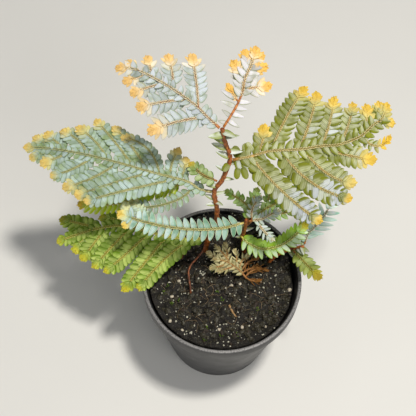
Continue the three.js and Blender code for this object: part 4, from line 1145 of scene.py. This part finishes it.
twig = {
    "points": [(4.6, -13.9), (6.2, -16.2), (7.2, -18), (8.5, -19.9)], "radii": [0.55, 0.6, 0.45, 0.3],
    "lift": 1.2, "skin": ("twigSkin", (120, 84, 48), (196, 160, 110), 0.7),
}
twigPoints = [onSoil(x, y, twig["lift"]) for x, y in twig["points"]]
addPiece("dryTwig", [tubePart(twigPoints, twig["radii"], 10, 0, 0.12)], [crumbMaterial(*twig["skin"])])
print("made the crumbs, perlite and twig")

litter = {
    "fibres": 150, "fibreLength": (2.5, 7), "fibreRadius": (0.05, 0.1), "fibreReach": 30,
    "rootHairs": 60, "hairRadii": [0.06, 0.03],
    "mossTufts": 22, "mossLeaves": 8, "mossReach": 33,
    "mossPlaces": [(-20, -14), (-27, -6), (2, -30), (19, -14), (-6, 4), (16, 8), (-27, 12)],
}


def insideRim(reach):
    turn, radius = random.uniform(0, fullTurn), reach * math.sqrt(random.uniform(0, 1))
    return radius * math.cos(turn), radius * math.sin(turn)


def fibreParts():
    parts = []
    for _ in range(litter["fibres"]):
        x, y = insideRim(litter["fibreReach"])
        heading, bend = random.uniform(0, fullTurn), random.uniform(-0.5, 0.5)
        step = random.uniform(*litter["fibreLength"]) / 5
        points = []
        for _ in range(6):
            points.append(onSoil(x, y, 0.3 + random.uniform(0, 0.35)))
            x, y, heading = x + step * math.cos(heading), y + step * math.sin(heading), heading + bend
        parts.append(tubePart(splineThrough(points, 3), [random.uniform(*litter["fibreRadius"])] * 2, 5, 0))
    return parts


def rootHairParts():
    parts = []
    for place in range(litter["rootHairs"]):
        line = measured(splineThrough(stems["frontRoot" if place % 2 else "leftRoot"]["points"]))
        (start,), _ = alongLine(line, line["length"] * random.uniform(0.15, 0.75))
        turn, length = random.uniform(0, fullTurn), random.uniform(0.7, 1.6)
        outward = ringOf(turn, 1.0, random.uniform(-0.5, 0.1)) * length
        points = [start, start + outward * 0.6, start + outward - [0, 0, 0.2]]
        parts.append(tubePart(points, litter["hairRadii"], 5, 0))
    return parts


def mossParts():
    parts = []
    count = litter["mossLeaves"]
    strewn = litter["mossTufts"] - len(litter["mossPlaces"])
    for x, y in litter["mossPlaces"] + [insideRim(litter["mossReach"]) for _ in range(strewn)]:
        turn = random.uniform(0, fullTurn, count)
        ahead = ringOf(turn, 1.0, random.uniform(0.4, 2, count))
        parts.append(leafPart(
            onSoil(x, y, 0.1) + ringOf(turn, 0.3), ahead, np.array([[0.0, 0.0, 1.0]]), 1.0,
            random.uniform(0.8, 1.6, count), 0.5, "narrow", {**commonLook, "thickness": 0.1}, small=True,
            tint=random.uniform(0.2, 1, count), pale=0.3))
    return parts


mossSkin = leafMaterial("mossSkin", {
    **plainLeaf, "deep": (44, 62, 12), "body": (92, 124, 28), "pale": (160, 184, 96), "edge": (70, 96, 20),
    "turning": (150, 150, 50), "ripe": (150, 120, 50), "paleSide": (-0.5, 1)})
fibreSkin = crumbMaterial("fibreSkin", (74, 54, 34), (168, 146, 112), 0.6)
addPiece("soilFibres", fibreParts(), [fibreSkin])
addPiece("rootHairs", rootHairParts(), [rootSkin])
addPiece("mossTufts", mossParts(), [mossSkin])
print("made the fibres, root hairs and moss")


# A camera or lamp looks along ahead.
def stand(thing, right, up, ahead, place):
    matrix = np.eye(4)
    matrix[:3] = np.stack([right, up, -ahead, place], axis=1)
    thing.matrix_world = Matrix(matrix)


def sightAxes(ahead, upward=(0, 0, 1.0)):
    ahead = unit(ahead)
    right = unit(np.cross(ahead, upward))
    return ahead, right, np.cross(right, ahead)


# Degrees and millimetres, the clip in metres. It aims beside and above the middle of the pot's rim.
camera = {
    "elevation": 65, "roll": 5, "distance": 407, "aimRight": -1.41, "aimUp": 4.77, "lens": 70, "sensor": 36,
    "clip": (0.01, 20),
}


def addCamera():
    elevation, roll = math.radians(camera["elevation"]), math.radians(camera["roll"])
    sideShift, upShift = (math.tan(math.radians(camera[each])) for each in ("aimRight", "aimUp"))
    ahead, right, up = sightAxes(np.array([0, math.cos(elevation), -math.sin(elevation)]))
    position = np.array([0, 0, pot["height"]]) - ahead * camera["distance"]
    ahead, right, up = sightAxes(ahead + right * sideShift + up * upShift, up)
    data = bpy.data.cameras.new("photoCamera")
    data.lens, data.sensor_width = camera["lens"], camera["sensor"]
    data.clip_start, data.clip_end = camera["clip"]
    viewer = addObject("photoCamera", data)
    stand(viewer, math.cos(roll) * right + math.sin(roll) * up, math.cos(roll) * up - math.sin(roll) * right,
          ahead, position * mm)
    bpy.context.scene.camera = viewer


floor = {"half": 3.0, "dark": (222, 222, 220), "light": (230, 230, 228)}  # half its width, in metres


def addFloor():
    mesh = bpy.data.meshes.new("floor")
    corners = [(x * floor["half"], y * floor["half"], 0) for x, y in ((-1, -1), (1, -1), (1, 1), (-1, 1))]
    mesh.from_pydata(corners, [], [(0, 1, 2, 3)])
    finish = Finish("floorPaint", 0.8)
    mesh.materials.append(finish.done(finish.mixed(finish.noise(120), floor["dark"], floor["light"])))
    addObject("floor", mesh)


lights = {
    # Place, aim and size in metres, power in watts, colour.
    "keyLight": {"place": (0.18, -0.03, 1.05), "aim": (0, 0.02, 0.1), "size": 0.1, "power": 8,
                 "colour": (255, 250, 240)},
    "fillLight": {"place": (0.5, -0.7, 0.6), "aim": (0, 0, 0.08), "size": 0.8, "power": 4,
                  "colour": (255, 252, 246)},
}
sky = {"colour": (0.97, 0.98, 1.0, 1), "strength": 0.2}


def addLights():
    for name, lamp in lights.items():
        data = bpy.data.lights.new(name, "AREA")
        data.energy, data.size, data.color = lamp["power"], lamp["size"], linear(lamp["colour"])[:3]
        place = np.array(lamp["place"], float)
        ahead, right, up = sightAxes(lamp["aim"] - place)
        stand(addObject(name, data), right, up, ahead, place)
    world = bpy.data.worlds.new("studio")
    world.use_nodes = True
    background = world.node_tree.nodes["Background"]
    background.inputs["Color"].default_value = sky["colour"]
    background.inputs["Strength"].default_value = sky["strength"]
    bpy.context.scene.world = world


addCamera()
addFloor()
addLights()
bpy.context.scene.view_settings.view_transform = "Standard"
print("made the floor, camera and lights")
